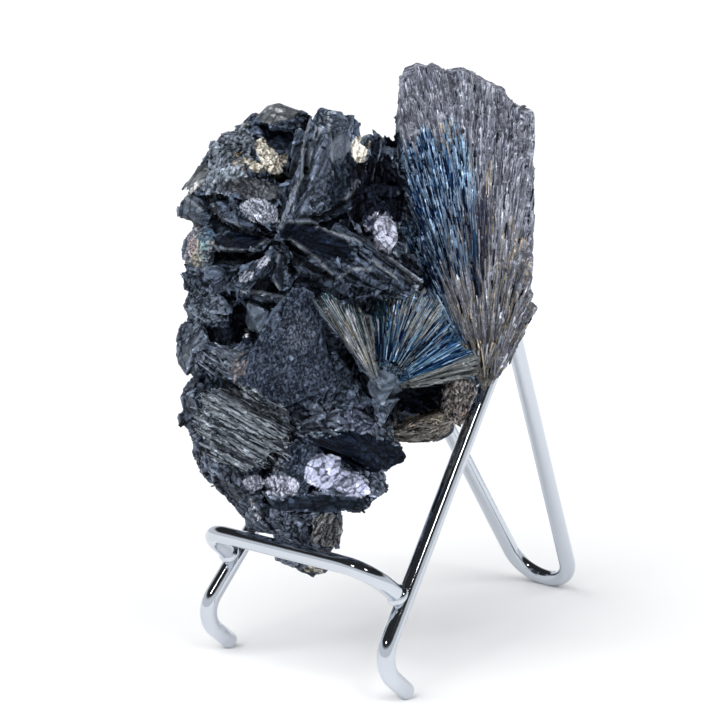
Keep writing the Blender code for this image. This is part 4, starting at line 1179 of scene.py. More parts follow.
def needle_piece(name, root, along, up, size, tone, gloss, rng):
    """One mesh of many needles. Their size is lengths, widths, thicknesses and tips, mm."""
    length, _, _, tip = size
    count = len(root)
    corners = needle_corners(root, along, up, size, rng)
    faces = NEEDLE_FACES[None] + (np.arange(count) * NEEDLE_CORNERS)[:, None, None]
    # Painted shade at the roots, painted light at the tips.
    tones = np.clip(tone[:, None, :] * ROOT_SHADE_TIP_LIGHT[None, :, None], 0, 1)
    glosses = np.repeat(gloss[:, None, :], NEEDLE_CORNERS, axis=1)
    lengths = np.stack([np.zeros(count)] * 4 + [length - tip] * 4 + [length], axis=1)
    sides = CORNER_SIDES[None] + rng.uniform(0, STREAK_PLACES, count)[:, None]
    grain = np.stack([lengths, sides, np.zeros_like(sides)], axis=2)
    return piece_from(name, corners.reshape(-1, 3), faces.reshape(-1, 3), tones, glosses, grain)


def needle_gloss(rng, count, growth):
    """Each needle's roughness, its sparkle, and the strength of its streaks."""
    low, high, streak = growth.gloss
    return np.stack([rng.uniform(low, high, count), rng.uniform(0, 1, count), np.full(count, streak)], axis=1)


def picks(surface, where, count, rng):
    """Evenly scattered places on part of the surface, and their normals."""
    found = rng.choice(np.flatnonzero(where), count)
    jitter = rng.uniform(-PICK_JITTER, PICK_JITTER, (count, 3))
    return surface.points[found] + jitter, surface.normals[found], found


def on_surface(direction, normals, keep=0.0):
    """A direction laid down onto the surface, apart from a part kept."""
    sunk = (direction * normals).sum(axis=1, keepdims=True)
    return unit(direction - normals * sunk * (1 - keep))


def choose(rng, count, palette):
    """One colour of a palette for each needle."""
    colours, shares = zip(*palette)
    shares = np.array(shares, float)
    which = rng.choice(len(colours), count, p=shares / shares.sum())
    return np.array(colours)[which]


def great_fan_tone(points, rng):
    """The great fan's colours: lilac-gray at the top and right, blue and navy at the left and middle."""
    count = len(points)
    out, bearing = polar(points, GREAT_FOCUS)
    tone = choose(rng, count, TOP_COLOURS)
    blue = choose(rng, count, BLUE_COLOURS)
    edge = swell(points, EDGE_SIZE, SALTS["great tone"]) * EDGE_RAGGEDNESS
    ragged = ribs(points, GREAT_FOCUS, BLUE_RIBS, SALTS["blue edge"]) * BLUE_RAGGEDNESS
    is_blue = (bearing + edge > BLUE_BEARING) & (out + ragged < BLUE_REACH)
    tone = np.where(is_blue[:, None], blue, tone)
    inner = (oval(plan_of(points), *INNER_PATCH) + edge * INNER_RAGGEDNESS) < 1
    tone = np.where(inner[:, None], choose(rng, count, INNER_COLOURS), tone)
    right = (bearing < RIGHT_ROOTS[0]) & (out < RIGHT_ROOTS[1])
    left = (bearing < LEFT_ROOTS[0]) & (out < LEFT_ROOTS[1] + edge * EDGE_RAGGEDNESS)
    return np.where((right | left)[:, None], choose(rng, count, ROOT_COLOURS), tone)


def fan_tinted(tone, points, rng):
    """Lays the great fan's tints over part of its needles."""
    plan = plan_of(points)
    share = rng.uniform(0, 1, len(points))
    front = points[:, 1] < FAN_TINT_DEPTH
    for x, w, half_width, half_height, turn, colour, part in FAN_TINTS:
        here = (oval(plan, x, w, half_width, half_height, turn) < 1) & (share < part) & front
        tone[here] += (colour - tone[here]) * FAN_TINT_STRENGTH
    return tone


def great_fan_sides(surface):
    """The great fan's broad sides, without its rim and its upright flanks."""
    rim = np.abs(dot(radial(surface.points, GREAT_FOCUS), surface.normals)) > RIM_LIMIT
    right = surface.normals[:, 0] > RIGHT_FLANK_LIMIT
    left = (surface.normals[:, 0] < LEFT_FLANK_LIMIT) & (surface.points[:, 2] > LEFT_FLANK_START)
    return ~rim & ~right & ~left


def clear_of_wires(place, along, length, behind, rise):
    """Shortens and sinks the needles that would come too near to a wire."""
    for start, end in wire_runs():
        for share in SHARES_ALONG:
            _, gap = off_wire(place + along * (length * (share - behind))[:, None], start, end)
            beside = gap < NEEDLE_CLEARANCE
            length = np.where(beside, np.minimum(length, BESIDE_WIRE_LENGTH), length)
            rise = np.where(beside, BESIDE_WIRE_RISE, rise)
    return length, rise


def great_fan_needles(name, surface, where, rng):
    """The great fan's packed needles, laid flush along its ribs from the focus out to its edge."""
    count = GREAT_NEEDLES
    place, normal, _ = picks(surface, where & great_fan_sides(surface), count, rng)
    out, bearing, reach = fan_place(place, GREAT_FAN)
    right_edge = (bearing - GREAT_BEARINGS[0]) / RIGHT_EDGE_BEARINGS * (out / RIGHT_EDGE_REACH)
    to_edge = np.clip(1 - right_edge, 0, 1)
    near_top = ramp(out, TOP_START * reach, TOP_SPAN * reach)
    free = ramp(bearing, FREE_BEARING, FREE_SPAN) * (1 - near_top)
    rib = ribs(place, GREAT_FOCUS, GREAT_RIBS, SALTS["great ribs"])
    outward = on_surface(radial(place, GREAT_FOCUS), normal, GREAT_KEEP)
    along = unit(outward + rng.normal(0, GREAT.sway, outward.shape))
    length = rng.uniform(*GREAT_LENGTH, count) * (1 - TOP_SHORTER * near_top) * (1 - EDGE_SHORTER * to_edge)
    width = rng.uniform(*GREAT.width, count)
    thickness = width * rng.uniform(*GREAT.thickness, count) * (1 + FREE_THICKER * free)
    tip = width * rng.uniform(*GREAT_TIP, count)
    rise = GREAT_SUNK + rib * RIB_RISE - EDGE_SUNK * to_edge + rng.uniform(*GREAT_RISE, count)
    behind = rng.uniform(*BEHIND, count)
    length, rise = clear_of_wires(place, along, length, behind, rise)
    root = place - along * (length * behind)[:, None]
    root = root + normal * (rise * (1 + FREE_RISE * free))[:, None]
    ends, _ = polar(root + along * length[:, None], GREAT_FOCUS)
    root = root - along * np.clip(ends - reach + END_MARGIN, 0, None)[:, None]
    tone = fan_tinted(great_fan_tone(place, rng), place, rng) * rng.uniform(*GREAT.light, (count, 1))
    # Needles on the ribs' crests are painted lighter and those in the grooves darker: painted light and
    # shade.
    tone = tone * (1 + (RIB_LIGHT - TOP_RIB_LIGHT * near_top) * rib)[:, None]
    gloss = needle_gloss(rng, count, GREAT)
    return needle_piece(name, root, along, normal, (length, width, thickness, tip), tone, gloss, rng)


def needle_fan_tone(points, rng):
    """The needle fan's colours: its wings and middle, its blue band, its rim and its spots."""
    out, bearing, reach = fan_place(points, NEEDLE_FAN)
    far = out / reach
    count = len(points)
    left, middle, right, band, rim = (choose(rng, count, palette) for palette in WING_PALETTES)
    tone = np.where((bearing > LEFT_WING)[:, None], LEFT_WING_LIGHT * left, middle)
    tone = np.where((bearing < RIGHT_WING)[:, None], right, tone)
    tone = np.where(between(bearing, *BLUE_BAND)[:, None], band, tone)
    tone = np.where((bearing < BLUE_BAND[0])[:, None], rim, tone)
    for colour, share, bearings, start in WING_SPOTS:
        here = (far > start) & between(bearing, *bearings)
        tone = np.where((here & (rng.uniform(0, 1, count) < share))[:, None], colour, tone)
    warm_bearing, warm_width, warm_reach, warm_depth = WARM_SPOT
    warm = (np.abs(bearing - warm_bearing) < warm_width) & (np.abs(far - warm_reach) < warm_depth)
    return np.where((warm & (rng.uniform(0, 1, count) < WARM_SHARE))[:, None], OCHRE, tone)


def needle_spans(out, bearing, reach, rib, rng):
    """Where each of the small fan's needles starts and ends, in mm from its hub."""
    count = len(out)
    dip = 1 - DIP_DEPTH * np.exp(-(((bearing - DIP_BEARING) / DIP_WIDTH) ** 2))
    farthest = reach * dip + FREE_TIP + rib * RIB_REACH - rng.uniform(0, 1.0, count) ** 2 * TIP_LOSS
    nearest = np.where(bearing > LEFT_HUB_BEARING, LEFT_HUB_COVER, HUB_COVER)
    nearest = nearest + rng.uniform(0, HUB_SPREAD, count)
    start = np.clip(out - rng.uniform(*NEEDLE_HALF, count), nearest, None)
    least = start + LEAST_NEEDLE
    end = np.clip(out + rng.uniform(*NEEDLE_HALF, count), least, np.maximum(farthest, least))
    return start, end


def needle_fan_needles(surface, where, rng):
    """Fine straight needles spreading from the hub over the small fan, with free tips along its edge."""
    count = FAN_NEEDLES
    place, normal, _ = picks(surface, where & (surface.normals[:, 1] < NEEDLE_FACING), count, rng)
    out, bearing, reach = fan_place(place, NEEDLE_FAN)
    depth = np.interp(bearing, NEEDLE_BEARINGS, NEEDLE_DEPTH)
    along = radial(place, NEEDLE_FOCUS)
    along[:, 1] = (depth - NEEDLE_FOCUS[1]) / reach
    along = unit(unit(along) + rng.normal(0, FINE.sway, (count, 3)))
    rib = ribs(place, NEEDLE_FOCUS, NEEDLE_RIBS, SALTS["needle ribs"])
    far = out / reach
    width = rng.uniform(*FINE.width, count)
    thickness = width * rng.uniform(*FINE.thickness, count)
    start, end = needle_spans(out, bearing, reach, rib, rng)
    stretch = 1 / np.hypot(along[:, 0], along[:, 2])
    length = (end - start) * stretch
    root = place + along * ((start - out) * stretch)[:, None]
    root[:, 1] += rng.uniform(*NEEDLE_LIFT, count) - rib * (RIB_LIFT + FAR_RIB_LIFT * np.clip(far, 0, 1))
    tone = needle_fan_tone(place, rng) * rng.uniform(*FINE.light, (count, 1))
    # Needles on the ribs' crests are painted lighter and those in the grooves darker: painted light and
    # shade.
    tone = tone * np.clip(FINE_LIGHT + (FINE_RIB_LIGHT + FAR_RIB_LIGHT * far) * rib, *FINE_LIGHTS)[:, None]
    gloss = needle_gloss(rng, count, FINE)
    size = (length, width, thickness, width * NEEDLE_TIP)
    front = np.tile((0.0, -1.0, 0.0), (count, 1))
    return needle_piece("needle_fan_needles", root, along, front, size, tone, gloss, rng)


def crystal_scatter(name, surface, tone, where, count, lengths, spread, rng):
    """Small loose-looking crystals grown on part of the surface, in the colours under them."""
    place, normal, found = picks(surface, where, count, rng)
    wild = unit(rng.normal(0, CRYSTAL.sway, (count, 3)))
    along = unit(on_surface(wild, normal) + normal * rng.uniform(CRYSTAL_LEAN, spread, count)[:, None])
    length = rng.uniform(*lengths, count)
    width = length * rng.uniform(*CRYSTAL.width, count)
    thickness = width * rng.uniform(*CRYSTAL.thickness, count)
    root = place - along * (length * CRYSTAL_BEHIND)[:, None] - normal * CRYSTAL_SUNK
    colour = tone[found] * rng.uniform(*CRYSTAL.light, (count, 1))
    gloss = needle_gloss(rng, count, CRYSTAL)
    size = (length, width, thickness, width)
    return needle_piece(name, root, along, normal, size, colour, gloss, rng)


def grain_splinters(name, surface, tone, where, angle, count, longest, rng):
    """Splinters lying along a straight grain."""
    place, normal, found = picks(surface, where, count, rng)
    slope = radians(angle)
    grain = np.tile((cos(slope), 0.0, sin(slope)), (count, 1))
    along = unit(on_surface(grain, normal, SPLINTER_KEEP) + rng.normal(0, SPLINTER.sway, (count, 3)))
    length = rng.uniform(SHORTEST_SPLINTER * longest, longest, count)
    width = rng.uniform(*SPLINTER.width, count)
    root = place - along * (length / 2)[:, None] + normal * rng.uniform(*SPLINTER_SUNK, count)[:, None]
    colour = tone[found] * rng.uniform(*SPLINTER.light, (count, 1))
    gloss = needle_gloss(rng, count, SPLINTER)
    size = (length, width, width * SPLINTER.thickness, width * SPLINTER_TIP)
    return needle_piece(name, root, along, normal, size, colour, gloss, rng)


# ---------------------------------------------------------------- the easel


def wire_end(name, place, heading):
    """The ring at a wire's end, ready to be pushed along it."""
    bpy.ops.object.select_all(action="DESELECT")
    bpy.ops.mesh.primitive_circle_add(
        vertices=RING_SIDES,
        radius=WIRE_RADIUS * MM,
        fill_type="NOTHING",
        location=easel_point(place),
        rotation=heading.to_track_quat("Z", "Y").to_euler(),
    )
    wire = bpy.context.active_object
    wire.name = wire.data.name = name
    bpy.ops.object.transform_apply(location=True, rotation=True, scale=True)
    bpy.ops.object.mode_set(mode="EDIT")
    bpy.ops.mesh.select_all(action="SELECT")
    return wire


def push_ring(step):
    bpy.ops.mesh.extrude_region_move(TRANSFORM_OT_translate={"value": step * MM})


def bend_ring(here, corner, after, radius):
    """Pushes the ring up to a bend and spins it round, and returns where it then is."""
    into = (corner - here).normalized()
    out = (after - corner).normalized()
    turn = into.angle(out)
    start = corner - into * radius * tan(turn / 2)
    push_ring(start - here)
    inward = (out - into * into.dot(out)).normalized()
    bpy.ops.mesh.spin(
        steps=ceil(turn / BEND_STEP),
        angle=turn,
        center=easel_point(start + inward * radius),
        axis=out.cross(into).normalized(),
    )
    return corner + out * radius * tan(turn / 2)


def run_wire(name, corners, bend_radii):
    """A round wire: a ring pushed along the straight runs and spun round the bends."""
    wire = wire_end(name, corners[0], (corners[1] - corners[0]).normalized())
    here = corners[0]
    for corner, after, radius in zip(corners[1:], corners[2:], bend_radii):
        here = bend_ring(here, corner, after, radius)
    push_ring(corners[-1] - here)
    bpy.ops.mesh.select_all(action="SELECT")
    bpy.ops.mesh.remove_doubles(threshold=MERGE_DISTANCE)
    bpy.ops.mesh.fill_holes(sides=0)
    bpy.ops.mesh.select_all(action="SELECT")
    bpy.ops.mesh.normals_make_consistent(inside=False)
    bpy.ops.object.mode_set(mode="OBJECT")
    return wire


def round_ends(wire, rounding):
    """Rounds the rims of the wire's two cut ends."""
    select_only(wire)
    bpy.ops.object.mode_set(mode="EDIT")
    bpy.ops.mesh.select_mode(type="EDGE")
    bpy.ops.mesh.select_all(action="DESELECT")
    bpy.ops.object.mode_set(mode="OBJECT")
    ends = [face for face in wire.data.polygons if len(face.vertices) == RING_SIDES]
    rims = {key for face in ends for key in face.edge_keys}
    for edge in wire.data.edges:
        edge.select = edge.key in rims
    bpy.ops.object.mode_set(mode="EDIT")
    bpy.ops.mesh.bevel(offset=rounding * MM, segments=END_SEGMENTS, affect="EDGES")
    bpy.ops.mesh.select_mode(type="VERT")
    bpy.ops.object.mode_set(mode="OBJECT")
    bpy.ops.object.shade_smooth()


def stand_flat(wire):
    """Takes off what would be below the floor, so the feet stand on small flats."""
    select_only(wire)
    bpy.ops.object.mode_set(mode="EDIT")
    bpy.ops.mesh.select_all(action="SELECT")
    bpy.ops.mesh.bisect(
        plane_co=(0, 0, 0), plane_no=(0, 0, 1), use_fill=True, clear_inner=True, threshold=MERGE_DISTANCE
    )
    bpy.ops.object.mode_set(mode="OBJECT")


def frame_corners():
    half = [FOOT_TIP, FRONT_BEND, SHOULDER]
    return half + [REAR_APEX] + [mirrored(point) for point in reversed(half)]


def ledge_corners():
    weld = FRONT_BEND.lerp(SHOULDER, WELD_ALONG_LEG)
    arm = (LEDGE_CORNER - weld).normalized()
    start = weld + arm * (WIRE_RADIUS + 2 * WELD_CLEARANCE)
    return [start, LEDGE_CORNER, mirrored(LEDGE_CORNER), mirrored(start)]


def weld_bead(name, place, direction):
    """A low round fillet of weld metal about the end of a ledge arm."""
    bpy.ops.object.select_all(action="DESELECT")
    bpy.ops.mesh.primitive_uv_sphere_add(
        segments=WELD_SEGMENTS,
        ring_count=WELD_RINGS,
        radius=WELD_RADIUS * MM,
        location=easel_point(place),
        rotation=direction.to_track_quat("Z", "Y").to_euler(),
    )
    bead = bpy.context.active_object
    bead.name = bead.data.name = name
    bpy.ops.object.mode_set(mode="EDIT")
    bpy.ops.mesh.select_all(action="SELECT")
    bpy.ops.transform.resize(value=(1, 1, WELD_FLATNESS), orient_type="LOCAL")
    bpy.ops.object.mode_set(mode="OBJECT")
    bpy.ops.object.transform_apply(location=True, rotation=True, scale=True)
    bpy.ops.object.shade_smooth()
    return bead


def easel_pieces():
    bends = [FRONT_BEND_RADIUS, SHOULDER_RADIUS, REAR_FOOT_RADIUS, SHOULDER_RADIUS, FRONT_BEND_RADIUS]
    stand = run_wire("stand_wire", frame_corners(), bends)
    round_ends(stand, END_ROUNDING)
    stand_flat(stand)
    corners = ledge_corners()
    ledge = run_wire("ledge_wire", corners, [LEDGE_CORNER_RADIUS, LEDGE_CORNER_RADIUS])
    round_ends(ledge, LEDGE_END_ROUNDING)
    pieces = [(stand, "stand_frame"), (ledge, "stand_ledge")]
    for side, start, corner in (("left", corners[0], corners[1]), ("right", corners[3], corners[2])):
        arm = (corner - start).normalized()
        bead = weld_bead(f"{side}_weld", start + arm * WELD_SHIFT, arm)
        pieces.append((bead, "stand_ledge"))
    return pieces


# ---------------------------------------------------------------- finishes

# Streaks, grit and flakes in the mineral, each in contrast, relief and polish, and the wire's haze.
SULFIDE = {"Metallic": 0.35, "Specular_IOR_Level": 0.1}
CHROME_TONE = (0.60, 0.635, 0.69, 1)
STREAK_STRETCH = (0.22, 1, 1)
STREAK_DETAIL = 3
STREAK_CONTRAST = 2.2
GRIT_DETAIL = 4
GRIT_ROUGHNESS = 0.65
GRIT_CONTRAST = 1.5
GRIT_RELIEF = 0.7
GRIT_HAZE = 0.25
FLAKE_SCALE = 0.55
FLAKE_CONTRAST = 0.45
FLAKE_RELIEF = 0.25
GLINT_SHARE = 0.955
GLINT_SPARKLE = 0.35
# How much the glints brighten the colour itself: a painted glint.
PAINTED_GLINT_LIGHT = 1.1
GLINT_POLISH = 0.2
DARKEST = 0.12
GRIT_BUMP = {"Strength": 0.6, "Distance": 0.00018}
CHROME_BUMP = {"Strength": 0.12, "Distance": 0.0004}
HAZE_SCALE = 260
HAZE_DETAIL = 3
FINE_SCALE = 2600
FINE_DETAIL = 2
CHROME_ROUGHNESS = 0.035
HAZE_ROUGHNESS = 0.05
FINE_ROUGHNESS = 0.03


class Value:
    """One socket of a shader. Arithmetic on it adds Math nodes."""

    def __init__(self, shader, socket):
        self.shader = shader
        self.socket = socket

    def math(self, operation, first, second):
        return self.shader.node("ShaderNodeMath", {"operation": operation}, {0: first, 1: second})

    def __add__(self, other):
        return self.math("ADD", self, other)

    def __radd__(self, other):
        return self.math("ADD", other, self)

    def __sub__(self, other):
        return self.math("SUBTRACT", self, other)

    def __rsub__(self, other):
        return self.math("SUBTRACT", other, self)

    def __mul__(self, other):
        return self.math("MULTIPLY", self, other)

    def __rmul__(self, other):
        return self.math("MULTIPLY", other, self)

    def at_least(self, other):
        return self.math("MAXIMUM", self, other)

    def at_most(self, other):
        return self.math("MINIMUM", self, other)

    def __gt__(self, other):
        return self.math("GREATER_THAN", self, other)


class Shader:
    """Nodes being laid in a material or in the studio's surroundings."""

    def __init__(self, owner):
        self.owner = owner
        owner.use_nodes = True
        self.tree = owner.node_tree
        self.tree.nodes.clear()

    def node(self, kind, settings=None, inputs=None, output=0):
        """Adds a node: its settings first, then a value or a link for each socket named."""
        node = self.tree.nodes.new(kind)
        for key, value in (settings or {}).items():
            setattr(node, key, value)
        for key, value in (inputs or {}).items():
            if isinstance(value, Value):
                self.tree.links.new(value.socket, node.inputs[key])
            else:
                node.inputs[key].default_value = value
        return Value(self, node.outputs[output])

    def attribute(self, name, output):
        return self.node("ShaderNodeAttribute", {"attribute_name": name}, output=output)

    def place(self, output="Object"):
        return self.node("ShaderNodeTexCoord", output=output)

    def noise(self, vector, scale, detail=2.0, roughness=0.5):
        inputs = {"Vector": vector, "Scale": scale, "Detail": detail, "Roughness": roughness}
        return self.node("ShaderNodeTexNoise", None, inputs)

    def part(self, vector, axis):
        """One of a vector's three numbers."""
        return self.node("ShaderNodeSeparateXYZ", None, {0: vector}, axis)

    def scaled(self, vector, scale):
        """A vector stretched along its axes."""
        return self.node("ShaderNodeVectorMath", {"operation": "MULTIPLY"}, {0: vector, 1: scale})

    def times(self, colour, factor):
        """A colour made darker or lighter."""
        return self.node("ShaderNodeVectorMath", {"operation": "SCALE"}, {0: colour, "Scale": factor})

    def bump(self, height, settings):
        return self.node("ShaderNodeBump", None, {"Height": height, **settings})

    def end(self, kind, surface):
        output = self.tree.nodes.new(kind)
        self.tree.links.new(surface.socket, output.inputs["Surface"])

    def finish(self, **sockets):
        names = {name.replace("_", " "): value for name, value in sockets.items()}
        self.end("ShaderNodeOutputMaterial", self.node("ShaderNodeBsdfPrincipled", None, names))
        return self.owner


def berthierite(name, streak_size, grit_size):
    """Dark steel-gray sulfide: striated along its grain, gritty, with small polished cleavage faces that
    carry a painted glint in their colour.
    """
    shader = Shader(bpy.data.materials.new(name))
    tone = shader.attribute("tone", "Color")
    gloss = shader.attribute("gloss", "Vector")
    sparkle = shader.part(gloss, "Y")
    streaked = shader.part(gloss, "Z")
    place = shader.place()
    along = shader.scaled(shader.attribute("grain", "Vector"), STREAK_STRETCH)
    streak = shader.noise(along, streak_size, STREAK_DETAIL) - 0.5
    grit = shader.noise(place, grit_size, GRIT_DETAIL, GRIT_ROUGHNESS) - 0.5
    flakes = {"Vector": place, "Scale": grit_size * FLAKE_SCALE}
    flake = shader.part(shader.node("ShaderNodeTexVoronoi", None, flakes, "Color"), "X")
    glint = (flake > GLINT_SHARE) * (sparkle > GLINT_SPARKLE)
    mottle = grit * GRIT_CONTRAST + (flake - 0.5) * FLAKE_CONTRAST
    # Glints brighten the base colour: a painted glint.
    shade = (1 + streak * streaked * STREAK_CONTRAST + mottle + glint * PAINTED_GLINT_LIGHT).at_least(DARKEST)
    relief = streak * streaked + grit * GRIT_RELIEF + flake * FLAKE_RELIEF
    return shader.finish(
        Base_Color=shader.times(tone, shade),
        Roughness=shader.part(gloss, "X") + grit * GRIT_HAZE - glint * GLINT_POLISH,
        Normal=shader.bump(relief, GRIT_BUMP),
        **SULFIDE,
    )


def chrome():
    """Bright plated wire, drawn slightly uneven, with a faint haze."""
    shader = Shader(bpy.data.materials.new("chrome wire"))
    place = shader.place()
    haze = shader.noise(place, HAZE_SCALE, HAZE_DETAIL)
    fine = shader.noise(place, FINE_SCALE, FINE_DETAIL)
    return shader.finish(
        Base_Color=CHROME_TONE,
        Metallic=1.0,
        Roughness=CHROME_ROUGHNESS + haze * HAZE_ROUGHNESS + fine * FINE_ROUGHNESS,
        Normal=shader.bump(haze, CHROME_BUMP),
    )


def wear(piece, material):
    piece.data.materials.clear()
    piece.data.materials.append(material)


# ---------------------------------------------------------------- the studio

CAMERA_AZIMUTH = radians(40.61)
CAMERA_ELEVATION = radians(11.62)
CAMERA_DISTANCE = 437.3
CAMERA_AIM = Vector((0.58, -1.77, 30))
CAMERA_SIDESTEP = -8.449
CAMERA_RISE = 23.564
CLIP_START = 0.01
LENS = 116.295
SENSOR = 36

FLOOR_SIZE = 9.0
FLOOR_TONE = (0.93, 0.93, 0.93, 1)
FLOOR_ROUGHNESS = 0.55
FLOOR_MOTTLE = 0.1
FLOOR_MOTTLE_SCALE = 3

DAYLIGHT = 0.45
DAYLIGHT_TONE = (0.93, 0.96, 1.0, 1)
HORIZON_LIGHT = 0.8
CEILING_LIGHT = 0.03
CEILING_START = 0.36
CEILING_EDGE = 7
# Lights: name, how far toward the camera, to its right and up, strength, width of the source in degrees, and
# whether polished metal shows it.
LIGHTS = (
    ("key", 0.55, -0.55, 0.8, 2.5, 60, False),
    ("fill", 0.5, 0.8, 0.5, 1.25, 70, False),
    ("left lamp", 0.8, -0.5, 0.7, 0.16, 8, True),
    ("right lamp", 0.7, 0.35, 0.75, 0.16, 8, True),
)


def camera():
    azimuth, elevation = CAMERA_AZIMUTH, CAMERA_ELEVATION
    right = Vector((cos(azimuth), sin(azimuth), 0))
    back = Vector((sin(azimuth) * cos(elevation), -cos(azimuth) * cos(elevation), sin(elevation)))
    up = back.cross(right)
    place = CAMERA_AIM + right * CAMERA_SIDESTEP + up * CAMERA_RISE + back * CAMERA_DISTANCE
    bpy.ops.object.camera_add(location=place * MM)
    view = bpy.context.active_object
    turn = Matrix((right, up, back)).transposed().to_quaternion()
    view.matrix_world = Matrix.LocRotScale(place * MM, turn, None)
    view.data.lens = LENS
    view.data.sensor_width = SENSOR
    view.data.clip_start = CLIP_START
    bpy.context.scene.camera = view
    return right, back


def sunlight(name, toward, strength, softness, shown):
    """Even light from one side."""
    bpy.ops.object.light_add(type="SUN", location=toward.normalized())
    light = bpy.context.active_object
    light.name = name
    light.rotation_euler = toward.to_track_quat("Z", "Y").to_euler()
    light.data.energy = strength
    light.data.angle = radians(softness)
    light.visible_glossy = shown


def floor():
    bpy.ops.object.select_all(action="DESELECT")
    bpy.ops.mesh.primitive_plane_add(size=FLOOR_SIZE)
    ground = bpy.context.active_object
    ground.name = "floor"
    shader = Shader(bpy.data.materials.new("pale floor"))
    mottle = shader.noise(shader.place(), FLOOR_MOTTLE_SCALE)
    wear(ground, shader.finish(Base_Color=FLOOR_TONE, Roughness=FLOOR_ROUGHNESS + mottle * FLOOR_MOTTLE))


def surroundings():
    """Pale daylight all round, which polished metal sees as a bright horizon under a dark ceiling."""
    world = bpy.data.worlds.new("studio")
    bpy.context.scene.world = world
    shader = Shader(world)
    mirror = shader.node("ShaderNodeLightPath", output="Is Glossy Ray")
    height = shader.part(shader.place("Generated"), "Z")
    ceiling = ((height - CEILING_START) * CEILING_EDGE).at_least(0).at_most(1)
    seen = HORIZON_LIGHT - ceiling * (HORIZON_LIGHT - CEILING_LIGHT)
    strength = DAYLIGHT + mirror * (seen - DAYLIGHT)
    sky = shader.node("ShaderNodeBackground", None, {"Color": DAYLIGHT_TONE, "Strength": strength})
    shader.end("ShaderNodeOutputWorld", sky)


def studio():
    right, back = camera()
    floor()
    surroundings()
    overhead = Vector((0, 0, 1))
    for name, near, sideways, above, strength, softness, shown in LIGHTS:
        toward = back * near + right * sideways + overhead * above
        sunlight(name, toward, strength, softness, shown)
    bpy.context.scene.view_settings.view_transform = "Standard"


# ---------------------------------------------------------------- putting it together

# How bright the beds are under the fans' needles, darker than the needles as painted shade between them.
GREAT_BED = (0.45, 0.75)
NEEDLE_BED = 0.5

# Streak and grit sizes of the two finishes.
ROCK_TEXTURE = (5.0, 2200)
NEEDLE_TEXTURE = (7.0, 3400)

# Splinters and small crystals: marks they grow on, how many, and their sizes in mm.
BLOCK_MARKS = ("wood_block", "left_stack")
BLOCK_FACING = -0.6
BLOCK_ANGLE = -31
BLOCK_SPLINTERS = 900
BLOCK_LONGEST = 4.4
LOBE_MARKS = ("fibre_lobe",)
LOBE_RIGHT = 23.5
LOBE_ANGLE = 6
LOBE_FIBRES = 700
LOBE_LONGEST = 2.6
ROUGH_MARKS = ("upper_left", "middle", "foot", "scales", "recess", "dark_cavity", "rim_lobe", "left_cavity")
ROUGH_FACING = -0.15
FACE_CRYSTALS = 1500
FACE_SIZES = (0.7, 2.2)
FACE_SPREAD = 0.3
BACK_CRYSTALS = 1800
BACK_SIZES = (0.8, 2.6)
BACK_SPREAD = 0.25
# Where the great fan's back stays free of them.
BY_FAN_X = 11
BY_FAN_Z = 62
BY_FAN_REACH = 50


def broken_rock(rock):
    """Shapes the rock, lays its marks and breaks its surface, and returns it with its marks."""
    surface = Surface(rock.data)
    shape_rims(surface)
    surface.smooth(SMOOTHING_PASSES)
    surface.write()
    front = facing_front(surface)
    mark = lay_marks(surface, front)
    grain = lay_grain(surface, mark)
    tone, gloss = break_surface(surface, mark, grain)
    tone = tinted(tone, surface.points, front, gloss[:, 1])
    tone = cut_seams(surface, front, tone)
    keep_off_wires(surface)
    return surface, mark, grain, tone, gloss


def colour_beds(surface, mark, tone, rng):
    """Gives the rock under the two fans the colours of their needles, darkened as painted shade between them.
    """
    great = mark == GREAT_FAN_MARK
    small = mark == NEEDLE_FAN_MARK
    low, span = GREAT_BED
    # The great fan's bed is scaled by the rock's tone, which carries the painted ridge light and crease
    # shade.
    form = low + span * tone.sum(axis=1, keepdims=True) / FINISHES["fan_bed"].light.sum()
    points = surface.points[great]
    tone[great] = fan_tinted(great_fan_tone(points, rng), points, rng) * form[great]
    tone[small] = needle_fan_tone(surface.points[small], rng) * NEEDLE_BED


def grow_fans(surface, mark, rng):
    great = mark == GREAT_FAN_MARK
    front = surface.points[:, 1] < GREAT_MIDDLE_DEPTH
    return [
        great_fan_needles("great_fan_front", surface, great & front, rng),
        great_fan_needles("great_fan_back", surface, great & ~front, rng),
        needle_fan_needles(surface, mark == NEEDLE_FAN_MARK, rng),
    ]


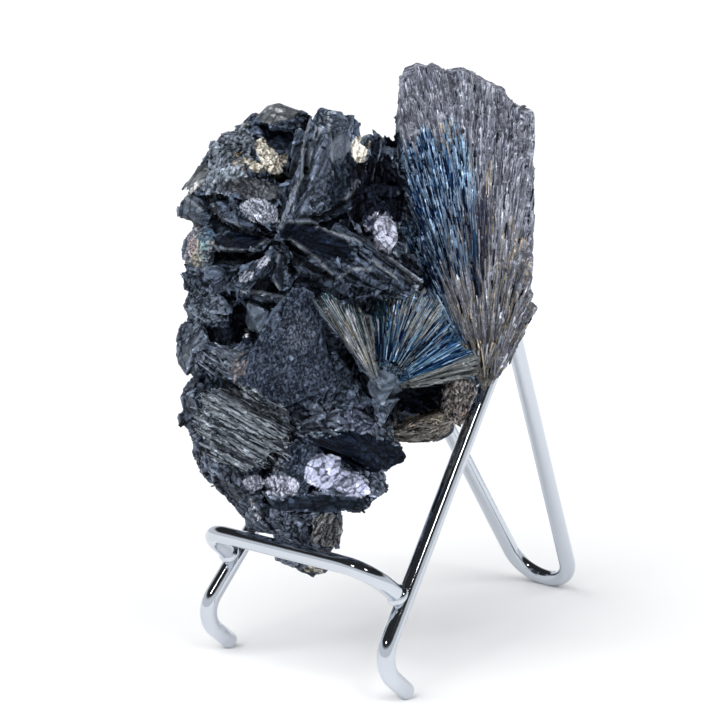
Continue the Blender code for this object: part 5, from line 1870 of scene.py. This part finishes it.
def grow_splinters(surface, mark, tone, rng):
    """The splinters of the striated block, and the fibres of the lobe at the right."""
    block = marked(mark, *BLOCK_MARKS) & (surface.normals[:, 1] < BLOCK_FACING)
    lobe = marked(mark, *LOBE_MARKS) & (surface.points[:, 0] < LOBE_RIGHT)
    block_size = (BLOCK_ANGLE, BLOCK_SPLINTERS, BLOCK_LONGEST)
    lobe_size = (LOBE_ANGLE, LOBE_FIBRES, LOBE_LONGEST)
    return [
        grain_splinters("block_splinters", surface, tone, block, *block_size, rng),
        grain_splinters("lobe_fibres", surface, tone, lobe, *lobe_size, rng),
    ]


def grow_crystals(surface, mark, tone, rng):
    """Small crystals on the rough parts of the face and all over the back."""
    open_rock = ~beside_wires(surface.points, CRYSTAL_CLEARANCE)
    rough = marked(mark, *ROUGH_MARKS) & (surface.normals[:, 1] < ROUGH_FACING) & open_rock
    _, around = polar(surface.points, GREAT_FOCUS)
    by_fan = (surface.points[:, 0] > BY_FAN_X) & (surface.points[:, 2] > BY_FAN_Z) & (around > BY_FAN_REACH)
    back = (mark >= BACK_MARK) & ~by_fan & open_rock
    face_size = (FACE_CRYSTALS, FACE_SIZES, FACE_SPREAD)
    back_size = (BACK_CRYSTALS, BACK_SIZES, BACK_SPREAD)
    return [
        crystal_scatter("face_crystals", surface, tone, rough, *face_size, rng),
        crystal_scatter("back_crystals", surface, tone, back, *back_size, rng),
    ]


def build_specimen():
    rng = np.random.default_rng(SEED)
    rock = rock_blank()
    surface, mark, grain, tone, gloss = broken_rock(rock)
    colour_beds(surface, mark, tone, rng)
    write_attributes(rock.data, tone, gloss, grain)
    rock_finish = berthierite("berthierite", *ROCK_TEXTURE)
    needle_finish = berthierite("berthierite needles", *NEEDLE_TEXTURE)
    slabs = rock_pieces(rock)
    for slab in slabs:
        wear(slab, rock_finish)
        select_only(slab)
        bpy.ops.object.shade_smooth_by_angle(angle=SMOOTH_ANGLE)
    needles = grow_fans(surface, mark, rng)
    needles += grow_splinters(surface, mark, tone, rng)
    needles += grow_crystals(surface, mark, tone, rng)
    for piece in needles:
        wear(piece, needle_finish)
    for piece in slabs + needles:
        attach(piece, "root")
        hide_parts("specimen")


def build_easel():
    finish = chrome()
    for piece, node in easel_pieces():
        wear(piece, finish)
        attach(piece, "root")
        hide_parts(node)


build_specimen()
build_easel()
studio()
